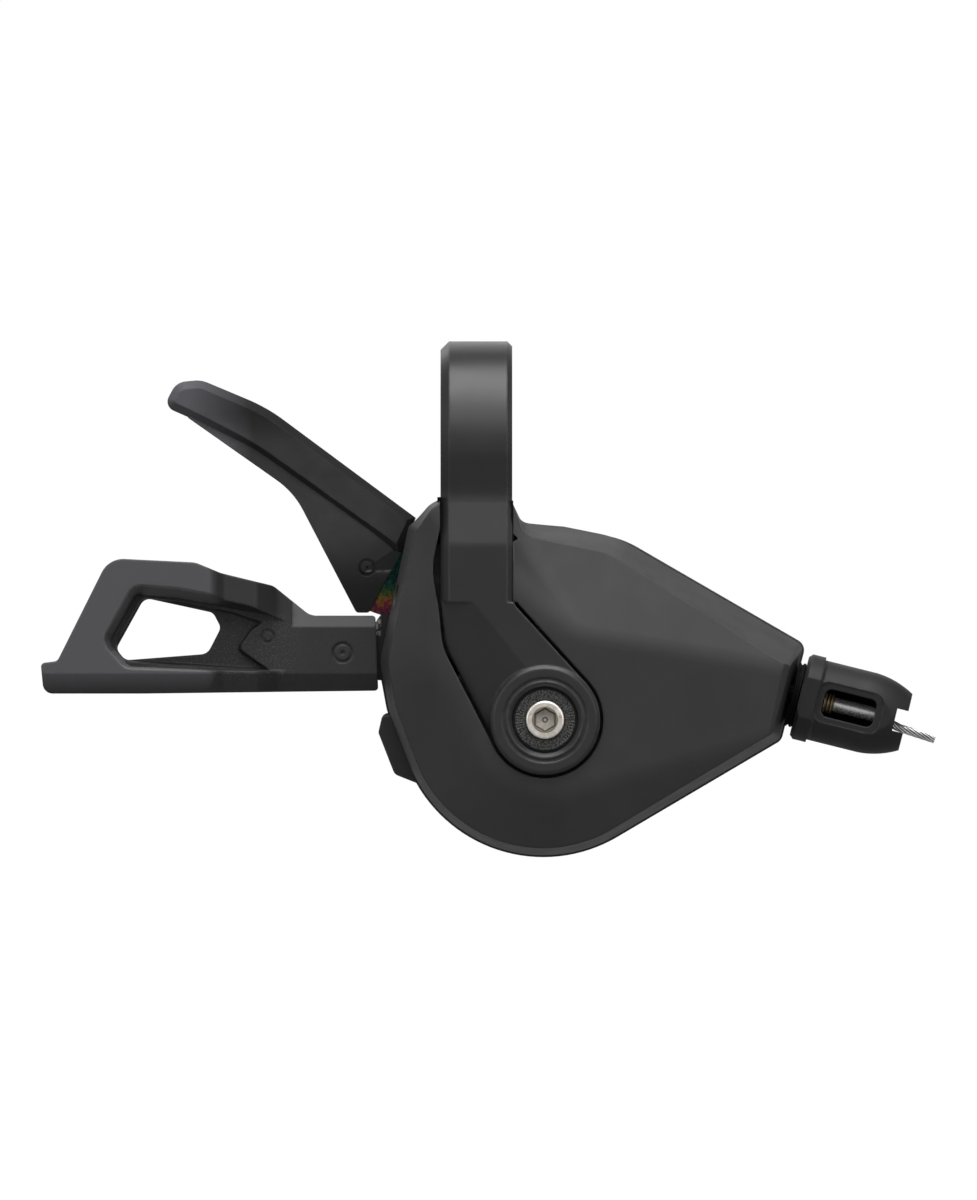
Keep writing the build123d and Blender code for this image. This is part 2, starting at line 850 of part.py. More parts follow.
def front_dome(corners, face_y):
    """Raised front: tapered sides, a falling skirt, the scooped upper facet and the bevelled outlet end."""
    tapers = [side_taper, side_taper, notch_taper, notch_taper, top_taper, top_taper] + [side_taper] * 6
    dome = slab(outline(*corners), taper_start_y, cover_split_y)
    dome = dome + drafted(corners, tapers, face_y, taper_start_y)
    dome = dome & skirt(face_y) & scoop(face_y)
    return dome - in_front(end_bevel_bottom, end_bevel_top, end_bevel_slope, face_y)


def strap_channel():
    """Close slot beside the straight strap, and a wider one round its slanted end and the boss."""
    straight = rectangle(band_left - strap_side_gap, band_right + strap_side_gap, band_kink_z, 0)
    below_kink = rectangle(-through, through, -2 * through, band_kink_z)
    return straight + (offset(strap_outline(), channel_gap) & below_kink)


def cover_cuts():
    """Space that both covers leave for the bar, the band, the levers and the cable."""
    bar = bar_slab(Circle(bar_radius + bar_keep_out), -through, through)
    notch_section = rectangle(-through, through, rear_leg_end_z - saddle_notch_gap, through)
    notch = bar_slab(notch_section, band_left - strap_side_gap, band_right + strap_side_gap)
    slot = slab(rectangle(slot_left_x, slot_right_x, slot_bottom_z, slot_top_z), slot_front_y, slot_back_y)
    return [bar, notch, slot, outlet_bore(sleeve_radius + side_gap)]


def front_cover():
    solid = front_dome(front_corners(), cover_face_y)
    cover = solid - front_dome(inset(front_corners(), cover_wall), cover_face_y + cover_wall)
    for place in post_places():
        cover = cover + (slab(disc(place, front_screw_boss_radius), cover_face_y, plate_front_y) & solid)
    for gap in (strap_channel(), outline(*strap_gap_corners), outline(*strap_notch_corners)):
        cover = cover - slab(gap, -through, plate_back_y)
    for cut in cover_cuts():
        cover = cover - cut
    for place in post_places():
        cover = cover - slab(disc(place, screw_radius + thread_gap), screw_tip_y - hole_gap, 0)
    return cover


def rear_cover():
    shape = outline(*rear_corners()) + outline(*rear_lug_corners)
    solid = slab(shape, cover_split_y, cover_back_y)
    cover = fillet(solid.faces().sort_by(Axis.Y)[-1].edges(), cover_back_edge)
    cavity = outline(*inset(rear_corners(), cover_wall))
    cover = cover - slab(cavity, cover_split_y - 1, cover_back_y - cover_wall)
    panel = outline(*inset(rear_corners(), rear_panel_inset))
    cover = cover - slab(panel, cover_back_y - rear_panel_depth, through)
    for place in post_places():
        boss = slab(disc(place, rear_screw_boss_radius), support_back_y, cover_back_y - rear_panel_depth)
        cover = cover + (boss & solid)
    for cut in cover_cuts():
        cover = cover - cut
    for place in post_places():
        cover = cover - slab(disc(place, screw_radius + hole_gap), 0, through)
        cover = cover - slab(disc(place, screw_head_radius + hole_gap), screw_seat_y, through)
    return cover


# Drum, ratchets and pawls

def ratchet(layer, phase_degrees):
    """Wheel with one notch at the phase angle and one for each gear that the drum winds to from there."""
    blank = disc(axle, ratchet_tip_radius)
    root = ratchet_tip_radius - tooth_depth
    outside = ratchet_tip_radius + 1
    notch = outline(
        (root, -notch_floor / 2),
        (outside, -notch_floor / 2 - ramp_run),
        (outside, notch_floor / 2 + flank_run),
        (root, notch_floor / 2),
    )
    for gear in range(gear_count):
        blank = blank - Pos(*axle) * Rot(0, 0, phase_degrees - gear * step_degrees) * notch
    return slab(blank - disc(axle, axle_radius + run_gap), *layer)


def nose_point(degrees):
    return around_axle(ratchet_tip_radius + nose_clearance + nose_width / 2, degrees)


def engaged_degrees(pivot, nose, swing):
    """Angle about the axle of a pawl nose once the pawl has swung into the teeth."""
    point = turned(nose, pivot, swing)
    return math.degrees(math.atan2(point[1] - axle_z, point[0] - axle_x))


def hold_ratchet():
    return ratchet(hold_layer, engaged_degrees(hold_pivot(), nose_point(hold_nose_degrees), hold_pawl_swing))


def wind_ratchet():
    return ratchet(wind_layer, engaged_degrees(wind_pivot(), nose_point(wind_nose_degrees), wind_pawl_swing))


def nipple_solid(radius, length):
    angle = math.radians(nipple_degrees)
    at = around_axle(pitch_radius, nipple_degrees)
    plane = Plane(origin=(at[0], cable_y, at[1]), z_dir=(-math.sin(angle), 0, math.cos(angle)))
    return extrude(plane * Circle(radius), amount=length)


def winding_drum():
    drum = slab(disc(axle, drum_flange_radius), drum_front_y, drum_back_y)
    groove = ring(axle, drum_flange_radius + 1, pitch_radius - cable_radius - fit_gap)
    drum = drum - slab(groove, cable_y - drum_groove_width / 2, cable_y + drum_groove_width / 2)
    drum = drum - nipple_solid(nipple_radius + fit_gap, nipple_length + nipple_end_gap)
    holes = disc(axle, axle_radius + run_gap)
    for index in range(drum_hole_count):
        holes = holes + disc(around_axle(drum_hole_reach, index * 360 / drum_hole_count), drum_hole_radius)
    return drum - cutter(holes)


def cable_nipple():
    return nipple_solid(nipple_radius, nipple_length)


def hold_pawl():
    body = slab(disc(hold_pivot(), hold_hub_radius), hold_layer[0], release_back_y)
    arm = link(hold_pivot(), nose_point(hold_nose_degrees), hold_arm_half, nose_width / 2)
    tail_end = around_axle(hold_pawl_radius - hold_tail_reach, hold_pawl_degrees)
    tail = link(hold_pivot(), tail_end, hold_tail_half, hold_tail_tip)
    body = body + slab(arm, *hold_layer) + slab(tail, release_plate_y, release_back_y)
    return body - cutter(disc(hold_pivot(), hold_pin_radius + run_gap))


def hold_pawl_pin():
    return slab(disc(hold_pivot(), hold_pin_radius), plate_front_y, release_back_y + hold_pin_end)


def wind_pawl():
    arm = link(wind_pivot(), nose_point(wind_nose_degrees), wind_arm_half, nose_width / 2)
    face = disc(wind_pivot(), wind_hub_radius) + arm - disc(wind_pivot(), wind_pin_radius + run_gap)
    return slab(face, *wind_layer)


def wind_pawl_pin():
    pin = slab(disc(wind_pivot(), wind_pin_radius), wind_layer[0] - side_gap, main_back_y)
    return pin + slab(disc(wind_pivot(), wind_collar_radius), wind_layer[1] + wind_collar_gap, main_plate_y)


# Springs

def spring_clip(pivot, hub, ends, front):
    """Flat wire spring: an open coil round a hub with one straight leg to each end point."""
    middle = hub + clip_hub_gap + clip_wire / 2
    clip = ring(pivot, middle + clip_wire / 2, middle - clip_wire / 2)
    for end in ends:
        length = math.hypot(end[0] - pivot[0], end[1] - pivot[1])
        clip = clip + link(between(pivot, end, middle / length), end, clip_leg_half, clip_leg_half)
    return slab(clip, front, front + clip_wire)


def hold_pawl_spring():
    pivot = hold_pivot()
    stop = between(pivot, turned(post_places()[1], pivot, hold_clip_turn), hold_clip_share)
    near_nose = between(pivot, nose_point(hold_nose_degrees), hold_clip_nose_share)
    near_nose = (near_nose[0] + hold_clip_nose_offset, near_nose[1] + hold_clip_nose_offset)
    return spring_clip(pivot, hold_hub_radius, (stop, near_nose), hold_layer[1] + hold_clip_lift)


def wind_pawl_spring():
    pivot = wind_pivot()
    near_nose = between(pivot, nose_point(wind_nose_degrees), 0.5)
    near_nose = (near_nose[0] + wind_clip_offset, near_nose[1])
    stop = around_axle(wind_pawl_radius + wind_clip_step, wind_pawl_degrees - wind_clip_turn)
    return spring_clip(pivot, wind_pin_radius, (near_nose, stop), wind_layer[1] + slide_gap)


def spiral_spring(inner, turns, front, back):
    """Flat coil of half turns on two centres, so that each half turn grows by half the pitch."""
    coil = None
    for index in range(2 * turns):
        side = 1 if index % 2 else -1
        middle = inner + coil_pitch / 4 + index * coil_pitch / 2
        centre = (axle_x + side * coil_pitch / 4, axle_z)
        half = rectangle(-through, through, axle_z, through) if side > 0 else \
            rectangle(-through, through, -2 * through, axle_z)
        piece = ring(centre, middle + coil_strip / 2, middle - coil_strip / 2) & half
        coil = piece if coil is None else coil + piece
    return slab(coil, front, back)


def drum_spring():
    front = wind_layer[1] + side_gap
    return spiral_spring(axle_radius + coil_axle_gap, coil_turns, front, release_plate_y - side_gap)


def release_spring():
    front = release_back_y + slide_gap
    return spiral_spring(release_coil_radius, release_coil_turns, front, front + release_coil_width)


def main_spring():
    front = main_back_y + slide_gap
    return spiral_spring(axle_radius + coil_axle_gap, coil_turns, front, support_plate_y - slide_gap)


# Release lever

def release_plate():
    """Steel arm inside the pad, with the finger that trips the holding pawl."""
    top = (axle_x, axle_z + lever_root_half)
    bottom = (axle_x, axle_z - lever_root_half)
    trip_end = around_axle(trip_reach, hold_pawl_degrees - trip_lead_degrees)
    face = outline(top, *release_plate_corners, bottom) + disc(axle, lever_hub_radius)
    face = face + link(axle, trip_end, trip_root_half, trip_tip_half)
    return slab(face - disc(axle, axle_radius + run_gap), release_plate_y, release_back_y)


def release_pocket():
    """Hollow behind the thumb frame: drafted walls down to the arm's level, then a floor round the arrow end."""
    walls = drafted(pocket_mouth_corners, pocket_wall_drafts, arm_front_y, pad_front_y - hole_gap)
    return walls + drafted(pocket_floor_corners, pocket_floor_draft, pocket_floor_y, arm_front_y - hole_gap)


def release_marks():
    """A ring and a disc sunk into the arm by the moulding."""
    small = ring(release_ring_mark, release_ring_radius, release_ring_radius - mark_line)
    large = ring(release_disc_mark, release_disc_radius, release_disc_radius - mark_line)
    return small + large + disc(release_disc_mark, mark_dot_radius)


def release_pad():
    """Moulded lever: its front steps up from the arm to a thumb frame with a toe bead, a pocket and a window."""
    section = Pos(0, 0, bead_crease_z) * outline(*release_section_corners)
    form = extrude(section, amount=through) + extrude(section, amount=bead_depth, dir=(0, bead_slope, -1))
    arm_bevel = in_front(
        (arm_end_x, arm_crease_z), (arm_bevel_end_x, arm_crease_z), arm_bevel_slope, arm_front_y
    )
    form = form - (arm_bevel & cutter(rectangle(arm_bevel_end_x, 0, -through, 0)))
    pad = slab(outline(*release_corners), -through, arm_back_y) & form
    pad = pad - release_pocket() - cutter(outline(*release_window_corners))
    pad = pad - slab(release_marks(), arm_front_y - 1, arm_front_y + mark_depth)
    return pad - release_plate()


# Main lever

def main_plate():
    """Steel arm inside the pad, with the arm that carries the winding pawl."""
    top = (axle_x + lever_root_half / 2, axle_z + lever_root_half)
    bottom = (axle_x - lever_root_half, axle_z - lever_root_half / 3)
    face = outline(top, *main_plate_corners, bottom) + disc(axle, lever_hub_radius)
    face = face + link(axle, wind_pivot(), pawl_arm_root_half, pawl_arm_tip_half)
    face = face - disc(axle, axle_radius + run_gap) - disc(wind_pivot(), wind_pin_radius + fit_gap)
    return slab(face, main_plate_y, main_back_y)


def main_depth(front, back):
    """Section of the main lever in Y and Z, between a front and a back line: it bends to pass behind the bar."""
    return bar_slab(outline(*front, *reversed(back)), -through, 0)


def moved_back(line, step):
    return [(y + step, *rest) for y, *rest in line]


def bar_front_edges(bar):
    """Front edges along the top and the tip of the main lever's bar."""
    edges = []
    for face in bar.faces():
        if face.normal_at(face.center()).Y > -0.3:
            continue
        for edge in face.edges():
            middle = edge @ 0.5
            along_bar = abs((edge % 0.5).X) > 0.99
            above = middle.Z > bar_middle_z + bar_middle_slope * middle.X
            if not along_bar and (above or middle.X < bar_tip_x):
                edges.append(edge)
    return edges


def main_pad():
    """Solid paddle: a thick bar along the top edge and a thinner web below it."""
    bar = slab(outline(*main_bar_corners), 0, through) & main_depth(main_front_line, main_back_line)
    bar = chamfer(bar_front_edges(bar), bar_edge_bevel)
    web_front = moved_back(main_front_line, main_web_step)
    web_back = moved_back(web_front, main_web_thickness)
    web = slab(outline(*main_web_corners), 0, through) & main_depth(web_front, web_back)
    mark = ring(main_mark, main_mark_radius, main_mark_radius - mark_line) + disc(main_mark, mark_dot_radius)
    web = web - slab(mark, 0, main_front_y + main_web_step + mark_depth)
    return bar + web - main_plate()


# Adjuster and cable

def knob_profile():
    """Half section of the knob: its distance from the cable line, and its place along it."""
    body = (knob_body_radius, knob_body_end)
    end = (knob_end_radius, knob_length)
    near = Polyline(
        (0, 0),
        (knob_flange_radius - knob_flange_edge, 0),
        (knob_flange_radius, knob_flange_edge),
        (knob_flange_radius, knob_flange),
        (knob_body_radius, knob_flange + knob_shoulder),
        body,
    )
    curve = ThreePointArc(body, (knob_body_radius - knob_curve_drop, knob_curve_at), end)
    return make_face(near + curve + Polyline(end, (0, knob_length), (0, 0)))


def knob_section(scale):
    """Section across the knob: flats to the front, the back and the sides, with facets between them."""
    corners = []
    for across, up in ((-1, -1), (1, -1), (1, 1), (-1, 1)):
        flat = (across * knob_flat_depth * scale, up * knob_flat_half * scale)
        side = (across * knob_side_half * scale, up * knob_body_radius * scale)
        corners.extend((flat, side) if across == up else (side, flat))
    return outline(*corners)


def along_knob(radius, start, end):
    """Round bar about the knob's own axis, before the knob is put on the cable line."""
    return Pos(0, 0, start) * Cylinder(radius, end - start, align=(Align.CENTER, Align.CENTER, Align.MIN))


def adjuster_knob():
    knob = revolve(Plane.XZ * knob_profile(), Axis.Z)
    flange = extrude(knob_section(knob_flange_radius / knob_body_radius), amount=knob_flange)
    knob = knob & (flange + extrude(knob_section(1.0), amount=knob_length))
    knob = knob - along_knob(sleeve_radius + hole_gap, -1, knob_length + 1)
    knob = knob - along_knob(knob_bore_radius, knob_wall, knob_length + 1)
    middle = knob_wall + window_start + window_length / 2
    window = fillet(Box(through, window_width, window_length).edges().filter_by(Axis.X), window_corner)
    knob = knob - Pos(-through / 2, 0, middle) * window
    rim = Box(through, window_width + 2 * window_rim, window_length + 2 * window_rim)
    rim = fillet(rim.edges().filter_by(Axis.X), window_rim_corner)
    for side in (-1, 1):
        knob = knob - Pos(side * (knob_body_radius - window_recess + through / 2), 0, middle) * rim
    slot = Pos(0, 0, knob_length) * Box(through, end_slot_width, 2 * end_slot_depth)
    return outlet_plane(0) * (knob - slot)


def adjuster_tube():
    tube = outlet_tube(tube_radius, -neck_gap - cover_wall - tube_root, tube_end)
    return tube - outlet_bore(cable_radius + hole_gap)


def brass_sleeve():
    sleeve = outlet_tube(sleeve_radius, -neck_gap - cover_wall - tube_root, sleeve_end)
    return sleeve - outlet_bore(tube_radius + fit_gap)


def casing_seat():
    end = knob_length - end_slot_depth
    seat = outlet_tube(knob_bore_radius - fit_gap, end - seat_thickness, end)
    return seat - outlet_bore(cable_radius + seat_hole_gap)


def knob_seal():
    seal = outlet_tube(seal_radius, seal_cover_gap - neck_gap - cover_step, -seal_knob_gap)
    return seal - outlet_bore(sleeve_radius + hole_gap)


def inner_cable():
    """Cable from the nipple, round the drum, out through the knob, to a cut end that hangs a little lower."""
    start = around_axle(pitch_radius, nipple_degrees)
    middle = around_axle(pitch_radius, tangent_degrees + wrap_degrees / 2)
    tangent = around_axle(pitch_radius, tangent_degrees)
    leave_drum = (tangent[0], cable_y, tangent[1])
    wrap = ThreePointArc((start[0], cable_y, start[1]), (middle[0], cable_y, middle[1]), leave_drum)
    bend_start = tube_end + cable_bend_start
    bend_end = bend_start + cable_bend_length
    stub = knob_length + cable_stub - bend_end
    leave_tube = below_outlet(bend_start, 0)
    leave_knob = below_outlet(bend_end, cable_drop)
    cut_end = below_outlet(bend_end + stub, cable_drop + stub * cable_end_slope)
    bend = Spline(leave_tube, leave_knob, tangents=(outlet_axis, cut_end - leave_knob))
    path = Wire([wrap.edge(), Line(leave_drum, leave_tube).edge(), bend.edge(), Line(leave_knob, cut_end).edge()])
    angle = math.radians(nipple_degrees)
    profile = Plane(origin=path @ 0, z_dir=(math.sin(angle), 0, -math.cos(angle))) * Circle(cable_radius)
    return sweep(profile, path=path)


# One STEP file for each node

parts = (
    clamp_band, band_rivets, clamp_washer, clamp_bolt,
    bracket, main_axle, axle_washer, axle_nut, support_plate, spacer_posts, cover_screws, lever_spacer,
    front_cover, rear_cover,
    winding_drum, hold_ratchet, wind_ratchet, cable_nipple, drum_spring,
    hold_pawl, hold_pawl_pin, hold_pawl_spring, wind_pawl, wind_pawl_pin, wind_pawl_spring,
    release_plate, release_pad, release_spring,
    main_plate, main_pad, main_spring,
    adjuster_knob, adjuster_tube, brass_sleeve, casing_seat, knob_seal, inner_cable,
)

os.makedirs("parts", exist_ok=True)
for part in parts:
    export_step(part(), f"parts/{part.__name__}.step")
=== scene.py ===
import json
import math

import bpy
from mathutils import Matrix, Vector


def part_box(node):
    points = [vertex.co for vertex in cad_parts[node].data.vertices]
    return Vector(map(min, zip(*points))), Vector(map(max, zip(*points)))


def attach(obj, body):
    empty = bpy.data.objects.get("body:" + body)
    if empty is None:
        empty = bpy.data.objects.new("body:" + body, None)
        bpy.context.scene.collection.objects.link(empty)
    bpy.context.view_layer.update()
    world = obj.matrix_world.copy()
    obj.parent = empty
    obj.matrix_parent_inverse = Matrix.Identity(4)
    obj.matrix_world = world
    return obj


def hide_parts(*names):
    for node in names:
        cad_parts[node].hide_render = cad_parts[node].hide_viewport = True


# Looks of a trigger gear shifter, in metres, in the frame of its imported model: +X along the handlebar
# towards the cable outlet, +Z up, and -Y towards the viewer. Sizes named _MM are in millimetres.

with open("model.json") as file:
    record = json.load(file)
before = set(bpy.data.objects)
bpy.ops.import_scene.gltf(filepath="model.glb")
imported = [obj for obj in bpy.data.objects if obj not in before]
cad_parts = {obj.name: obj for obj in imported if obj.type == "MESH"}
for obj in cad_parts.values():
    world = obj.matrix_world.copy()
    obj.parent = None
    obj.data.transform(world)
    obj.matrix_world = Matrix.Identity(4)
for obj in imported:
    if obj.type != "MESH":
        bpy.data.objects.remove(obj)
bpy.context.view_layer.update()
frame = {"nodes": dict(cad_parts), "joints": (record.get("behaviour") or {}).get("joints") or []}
nodes = frame["nodes"]
joints = {joint["name"]: joint for joint in frame["joints"]}

MM = 0.001

# View: the image is 1200 pixels high, and 7.1 of them are a millimetre at the depth of its centre
IMAGE_HEIGHT = 1200
PIXELS_PER_MM = 7.1
VIEW_CENTRE = Vector((1.76, -10.0, -21.9)) * MM
VIEW_DISTANCE = 6.0
VIEW_END = 20
SENSOR_MM = 24.0

# Floor: its glow to the camera grows between two distances from the origin, and mirrors see a dimmer one
FLOOR_Z = -0.125
FLOOR_REACH = 3.0
FLOOR_CORNERS = ((-1, -1), (1, -1), (1, 1), (-1, 1))
FLOOR_GREY = 0.22
FLOOR_GLOW = (0.66, 1.0)
FLOOR_GLOW_GROWS = (0.25, 1.0)
FLOOR_MIRRORED = 0.10

# World: its light on the object, and the heights between which its pale band for mirrors starts and ends
WORLD_LIGHT = 0.12
WORLD_MIRRORED = 0.55
WORLD_BAND_STARTS = (0.0, 0.08)
WORLD_BAND_ENDS = (0.5, 0.3)

# Lamps: place, width and height, watts
LAMPS = {
    "top_softbox": ((0.0, -0.25, 0.9), (0.9, 0.7), 11.0),
    "front_softbox": ((0.2, -1.3, 1.1), (1.4, 1.0), 11.0),
    "rear_softbox": ((-0.2, 1.3, 0.9), (1.4, 1.0), 4.5),
    "left_softbox": ((-0.8, -0.7, 0.25), (0.5, 0.8), 1.6),
    "right_softbox": ((0.8, -0.7, 0.25), (0.5, 0.8), 1.6),
}

# Plain plastics: grey level, range of roughness, grain in mm and its strength, rounded edge in mm,
# lighter edges that are partly wear and partly painted highlight, and gloss
PLASTICS = {
    "cover_plastic": (0.027, (0.46, 0.56), 0.16, 0.10, 0.45, 0.3, 0.35),
    "knob_plastic": (0.012, (0.50, 0.60), 0.20, 0.15, 0.3, 0.3, 0.3),
    "band_paint": (0.018, (0.33, 0.41), 0.5, 0.05, 0.45, 0.4, 0.45),
    "rubber": (0.004, (0.7, 0.8), 0.3, 0.3, 0.2, 0.05, 0.1),
    # Dark core of the cable, which stands in for the shade between its wires
    "cable_core_shade": (0.02, (0.5, 0.6), 0.1, 0.2, 0.05, 0.05, 0.4),
    "drum_resin": (0.60, (0.4, 0.5), 0.3, 0.1, 0.2, 0.1, 0.4),
}

# Plain metals: darkest and lightest grey, range of roughness, grain in mm and its strength, and
# rounded edge in mm
METALS = {
    "dark_alloy": (0.03, 0.05, (0.45, 0.60), 0.25, 0.25, 0.1),
    "satin_steel": (0.45, 0.62, (0.26, 0.42), 0.12, 0.12, 0.1),
    "cable_steel": (0.40, 0.66, (0.22, 0.34), 0.10, 0.10, 0.02),
    "spring_steel": (0.40, 0.55, (0.22, 0.36), 0.10, 0.08, 0.1),
}

# Rounded edges: rays that feel for an edge, and the cosines between which a point counts as near one
BEVEL_SAMPLES = 6
EDGE_COSINES = (0.995, 0.80)

# All plastics: how far their grey drifts up and down, and the grey of edges lightened by wear and
# painted highlight
GREY_DRIFT = 0.12
WORN_AND_SHEEN_GREY = 0.16

# Release pad: how far behind its front the frame's face ends, how far above its bottom the bead ends,
# where the coarse grain fades and the share of it left on the arm, and the top of the pocket, along
# which Z + slope x X stays the same. Where a size has two values, something fades between them.
FRAME_FACE_ENDS = (1.5 * MM, 0.2 * MM)
BEAD_ENDS = (2.4 * MM, 1.4 * MM)
GRAIN_ENDS_X = (-24 * MM, -28 * MM)
ARM_GRAIN = 0.2
POCKET_SLOPE = 0.221
POCKET_TOP = -30.25 * MM
POCKET_FADE = 0.35 * MM

# Release plate: the part of it that is rubbed bright
RUBBED_Z = (-27.2 * MM, -26.4 * MM)
RUBBED_X = (-13.3 * MM, -13.7 * MM)

# Main lever: the edge of its moulded web, beyond which the coloured plate is bare, the ring sunk in the
# web's front and painted dark as shade, and how far from the tip the bar is painted paler as a highlight
WEB_EDGE_TOP = Vector((-10.9, 0, -15.6)) * MM
WEB_EDGE_LOW = Vector((-15.1, 0, -23.7)) * MM
WEB_EDGE_FADE = (-0.02 * MM, 0.08 * MM)
WEB_RING = Vector((-15.4, 0, -17.3)) * MM
WEB_RING_RADIUS = 1.05 * MM
WEB_RING_FADE = (0.26 * MM, 0.14 * MM)
WEB_FRONT_Y = (7.5 * MM, 7.0 * MM)
TIP_HIGHLIGHT_ENDS = (14 * MM, 5 * MM)
TIP_HIGHLIGHT_UNEVENNESS = 4 * MM

# Colours of the bare plate from bottom to top, and how far below its highest point they start and end
HEAT_ENDS = (9.0 * MM, 3.0 * MM)
HEAT_UNEVENNESS = 1.3
HEAT_BANDS = [
    (0.0, (0.06, 0.018, 0.06)),
    (0.20, (0.16, 0.03, 0.03)),
    (0.36, (0.20, 0.085, 0.02)),
    (0.50, (0.04, 0.07, 0.02)),
    (0.72, (0.008, 0.042, 0.034)),
    (1.0, (0.005, 0.018, 0.018)),
]

# Clamp bolt and washer: how far behind the bolt's front its socket starts, the radius where the darker
# brown chamfer ends, the socket's walls, how far from its middle the painted shade at the edge of its
# floor starts, the dimple in its floor, the pitch of the turned rings, and the washer's teeth
SOCKET_STARTS = (0.5 * MM, 0.9 * MM)
CHAMFER_ENDS = (1.9 * MM, 1.8 * MM)
HEX_WALLS_DEGREES = (0, 60, 120)
HEX_CORNER_STARTS = (1.2 * MM, 1.38 * MM)
DIMPLE_RADIUS = 0.32 * MM
DIMPLE_FADE = (0.13 * MM, 0.06 * MM)
TURNED_PITCH = 0.16 * MM
WASHER_TEETH = 60

# Adjuster: the pitch of the sleeve's thread, how far from the knob's inner face the sleeve's painted
# black shade ends, and how far above the cable line the tube's darker speckle starts
THREAD_PITCH = 0.5 * MM
NECK_SHADE_ENDS = (2.6 * MM, 2.0 * MM)
LOWER_SPECKLE_START = (0.1 * MM, -0.6 * MM)

# Cable: it leaves the drum along the outlet line and drops inside the knob to a cut end. Each drop is
# how far it is along that line from the knob's inner face, and how far below the line.
CABLE_RADIUS = 0.6 * MM
CABLE_WRAP_DEGREES = 60.0
CABLE_DROPS_MM = ((10.4, 0.0), (12.2, 0.0), (14.2, 0.959), (16.0, 1.081), (20.0, 1.353))
CABLE_STEPS = 40
WIRE_COUNT = 8
WIRE_SIDES = 8
WIRE_LAY = 8.0 * MM
WIRE_SLIMMING = 0.92

# Neck seal: how far its outline lies along the cable line from the knob's inner face, and its radius
# there
SEAL_OUTLINE_MM = (
    (-1.08, 1.5), (-1.08, 4.45), (-0.98, 4.6), (-0.84, 4.6), (-0.70, 4.35), (-0.56, 4.35), (-0.42, 4.6),
    (-0.16, 4.6), (-0.02, 4.4), (-0.02, 3.9), (-0.15, 3.7), (-0.15, 1.5),
)
SEAL_STEPS = 64

# Black strips of painted shade in the slits beside the strap, T-shaped in section: X of the outer and
# the inner face, X of both ends of the flange behind the strap, then Z of the top and of the bottom
SHADE_STRIPS_MM = ((-5.055, -5.005, -5.45, -4.7, -7.4, -14.0), (5.155, 5.105, 5.25, 4.8, -7.9, -18.0))
SHADE_STRIP_FRONT_MM = -13.5
SHADE_STRIP_WAVE_MM = 0.12
SHADE_STRIP_WAVES = 3
SHADE_STRIP_FLANGE_MM = -10.96
SHADE_STRIP_BACK_MM = -10.8
SHADE_STRIP_STEPS = 24

# Edges of the added pieces that turn more than this stay sharp
SHARP_DEGREES = 50

# Places that the materials and pieces follow
axle = Vector(joints["drum_spin"]["pos_m"])
outlet = Vector(joints["adjuster_turn"]["pos_m"])
outlet_axis = Vector(joints["adjuster_turn"]["axis"])
outlet_up = Vector((-outlet_axis.z, 0, outlet_axis.x))
crosswise = Vector((0, 1, 0))
pad_low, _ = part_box("release_pad")
bar_low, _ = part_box("main_pad")
bolt_low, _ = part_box("clamp_bolt")
_, plate_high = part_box("main_plate")


# Node helpers

def new_material(name):
    """A node material, its tree and its Principled shader."""
    made = bpy.data.materials.new(name)
    made.use_nodes = True
    return made, made.node_tree, made.node_tree.nodes["Principled BSDF"]


def connect(tree, values, made):
    """Set a node's inputs; each value is a number, a colour or another node's output."""
    for name, value in values.items():
        if isinstance(value, bpy.types.NodeSocket):
            tree.links.new(value, made.inputs[name])
        else:
            made.inputs[name].default_value = value


def put(tree, kind, values, operation=None):
    """A new node with its inputs set."""
    made = tree.nodes.new("ShaderNode" + kind)
    if operation:
        made.operation = operation
    connect(tree, values, made)
    return made


def calculate(tree, operation, first, second=0.0):
    return put(tree, "Math", {0: first, 1: second}, operation).outputs[0]


def plus(tree, first, second):
    return calculate(tree, "ADD", first, second)


def minus(tree, first, second):
    return calculate(tree, "SUBTRACT", first, second)


def times(tree, first, second):
    return calculate(tree, "MULTIPLY", first, second)


def away_from(tree, value, middle):
    return calculate(tree, "ABSOLUTE", minus(tree, value, middle))


def wave(tree, value, pitch):
    """Sine that repeats at a pitch."""
    return calculate(tree, "SINE", times(tree, value, 2 * math.pi / pitch))


def shaded_point(tree):
    return tree.nodes.new("ShaderNodeTexCoord").outputs["Object"]


def place(tree):
    """X, Y and Z of the shaded point."""
    return put(tree, "SeparateXYZ", {"Vector": shaded_point(tree)}).outputs


def place_along(tree, direction):
    """How far the shaded point lies along a direction."""
    return put(tree, "VectorMath", {0: shaded_point(tree), 1: direction}, "DOT_PRODUCT").outputs["Value"]


def offsets(tree, middle):
    """How far the shaded point lies from a middle, along X and along Z."""
    at = place(tree)
    return minus(tree, at["X"], middle.x), minus(tree, at["Z"], middle.z)


def length(tree, across, up):
    return calculate(tree, "SQRT", plus(tree, times(tree, across, across), times(tree, up, up)))


def noise(tree, size_mm, detail):
    """Noise whose features are about size_mm across."""
    values = {"Vector": shaded_point(tree), "Scale": 1 / (size_mm * MM), "Detail": detail}
    return put(tree, "TexNoise", values).outputs["Fac"]


def spread(tree, value, low, high, start=0.25, end=0.75):
    """Map a value from one range to another, by default the middle half of a noise."""
    values = {"Value": value, "From Min": start, "From Max": end, "To Min": low, "To Max": high}
    return put(tree, "MapRange", values).outputs["Result"]


def rises(tree, value, start, end):
    """0 before the start and 1 after the end, which may lie the other way round."""
    return spread(tree, value, 0.0, 1.0, start, end)


def between(tree, share, first, second):
    """Number between two numbers."""
    return spread(tree, share, first, second, 0.0, 1.0)


def ramp(tree, value, stops):
    """Colour ramp; stops are (place, (red, green, blue))."""
    made = put(tree, "ValToRGB", {"Fac": value})
    elements = made.color_ramp.elements
    while len(elements) < len(stops):
        elements.new(0.5)
    for element, (at, colour) in zip(elements, stops):
        element.position = at
        element.color = (*colour, 1)
    return made.outputs["Color"]


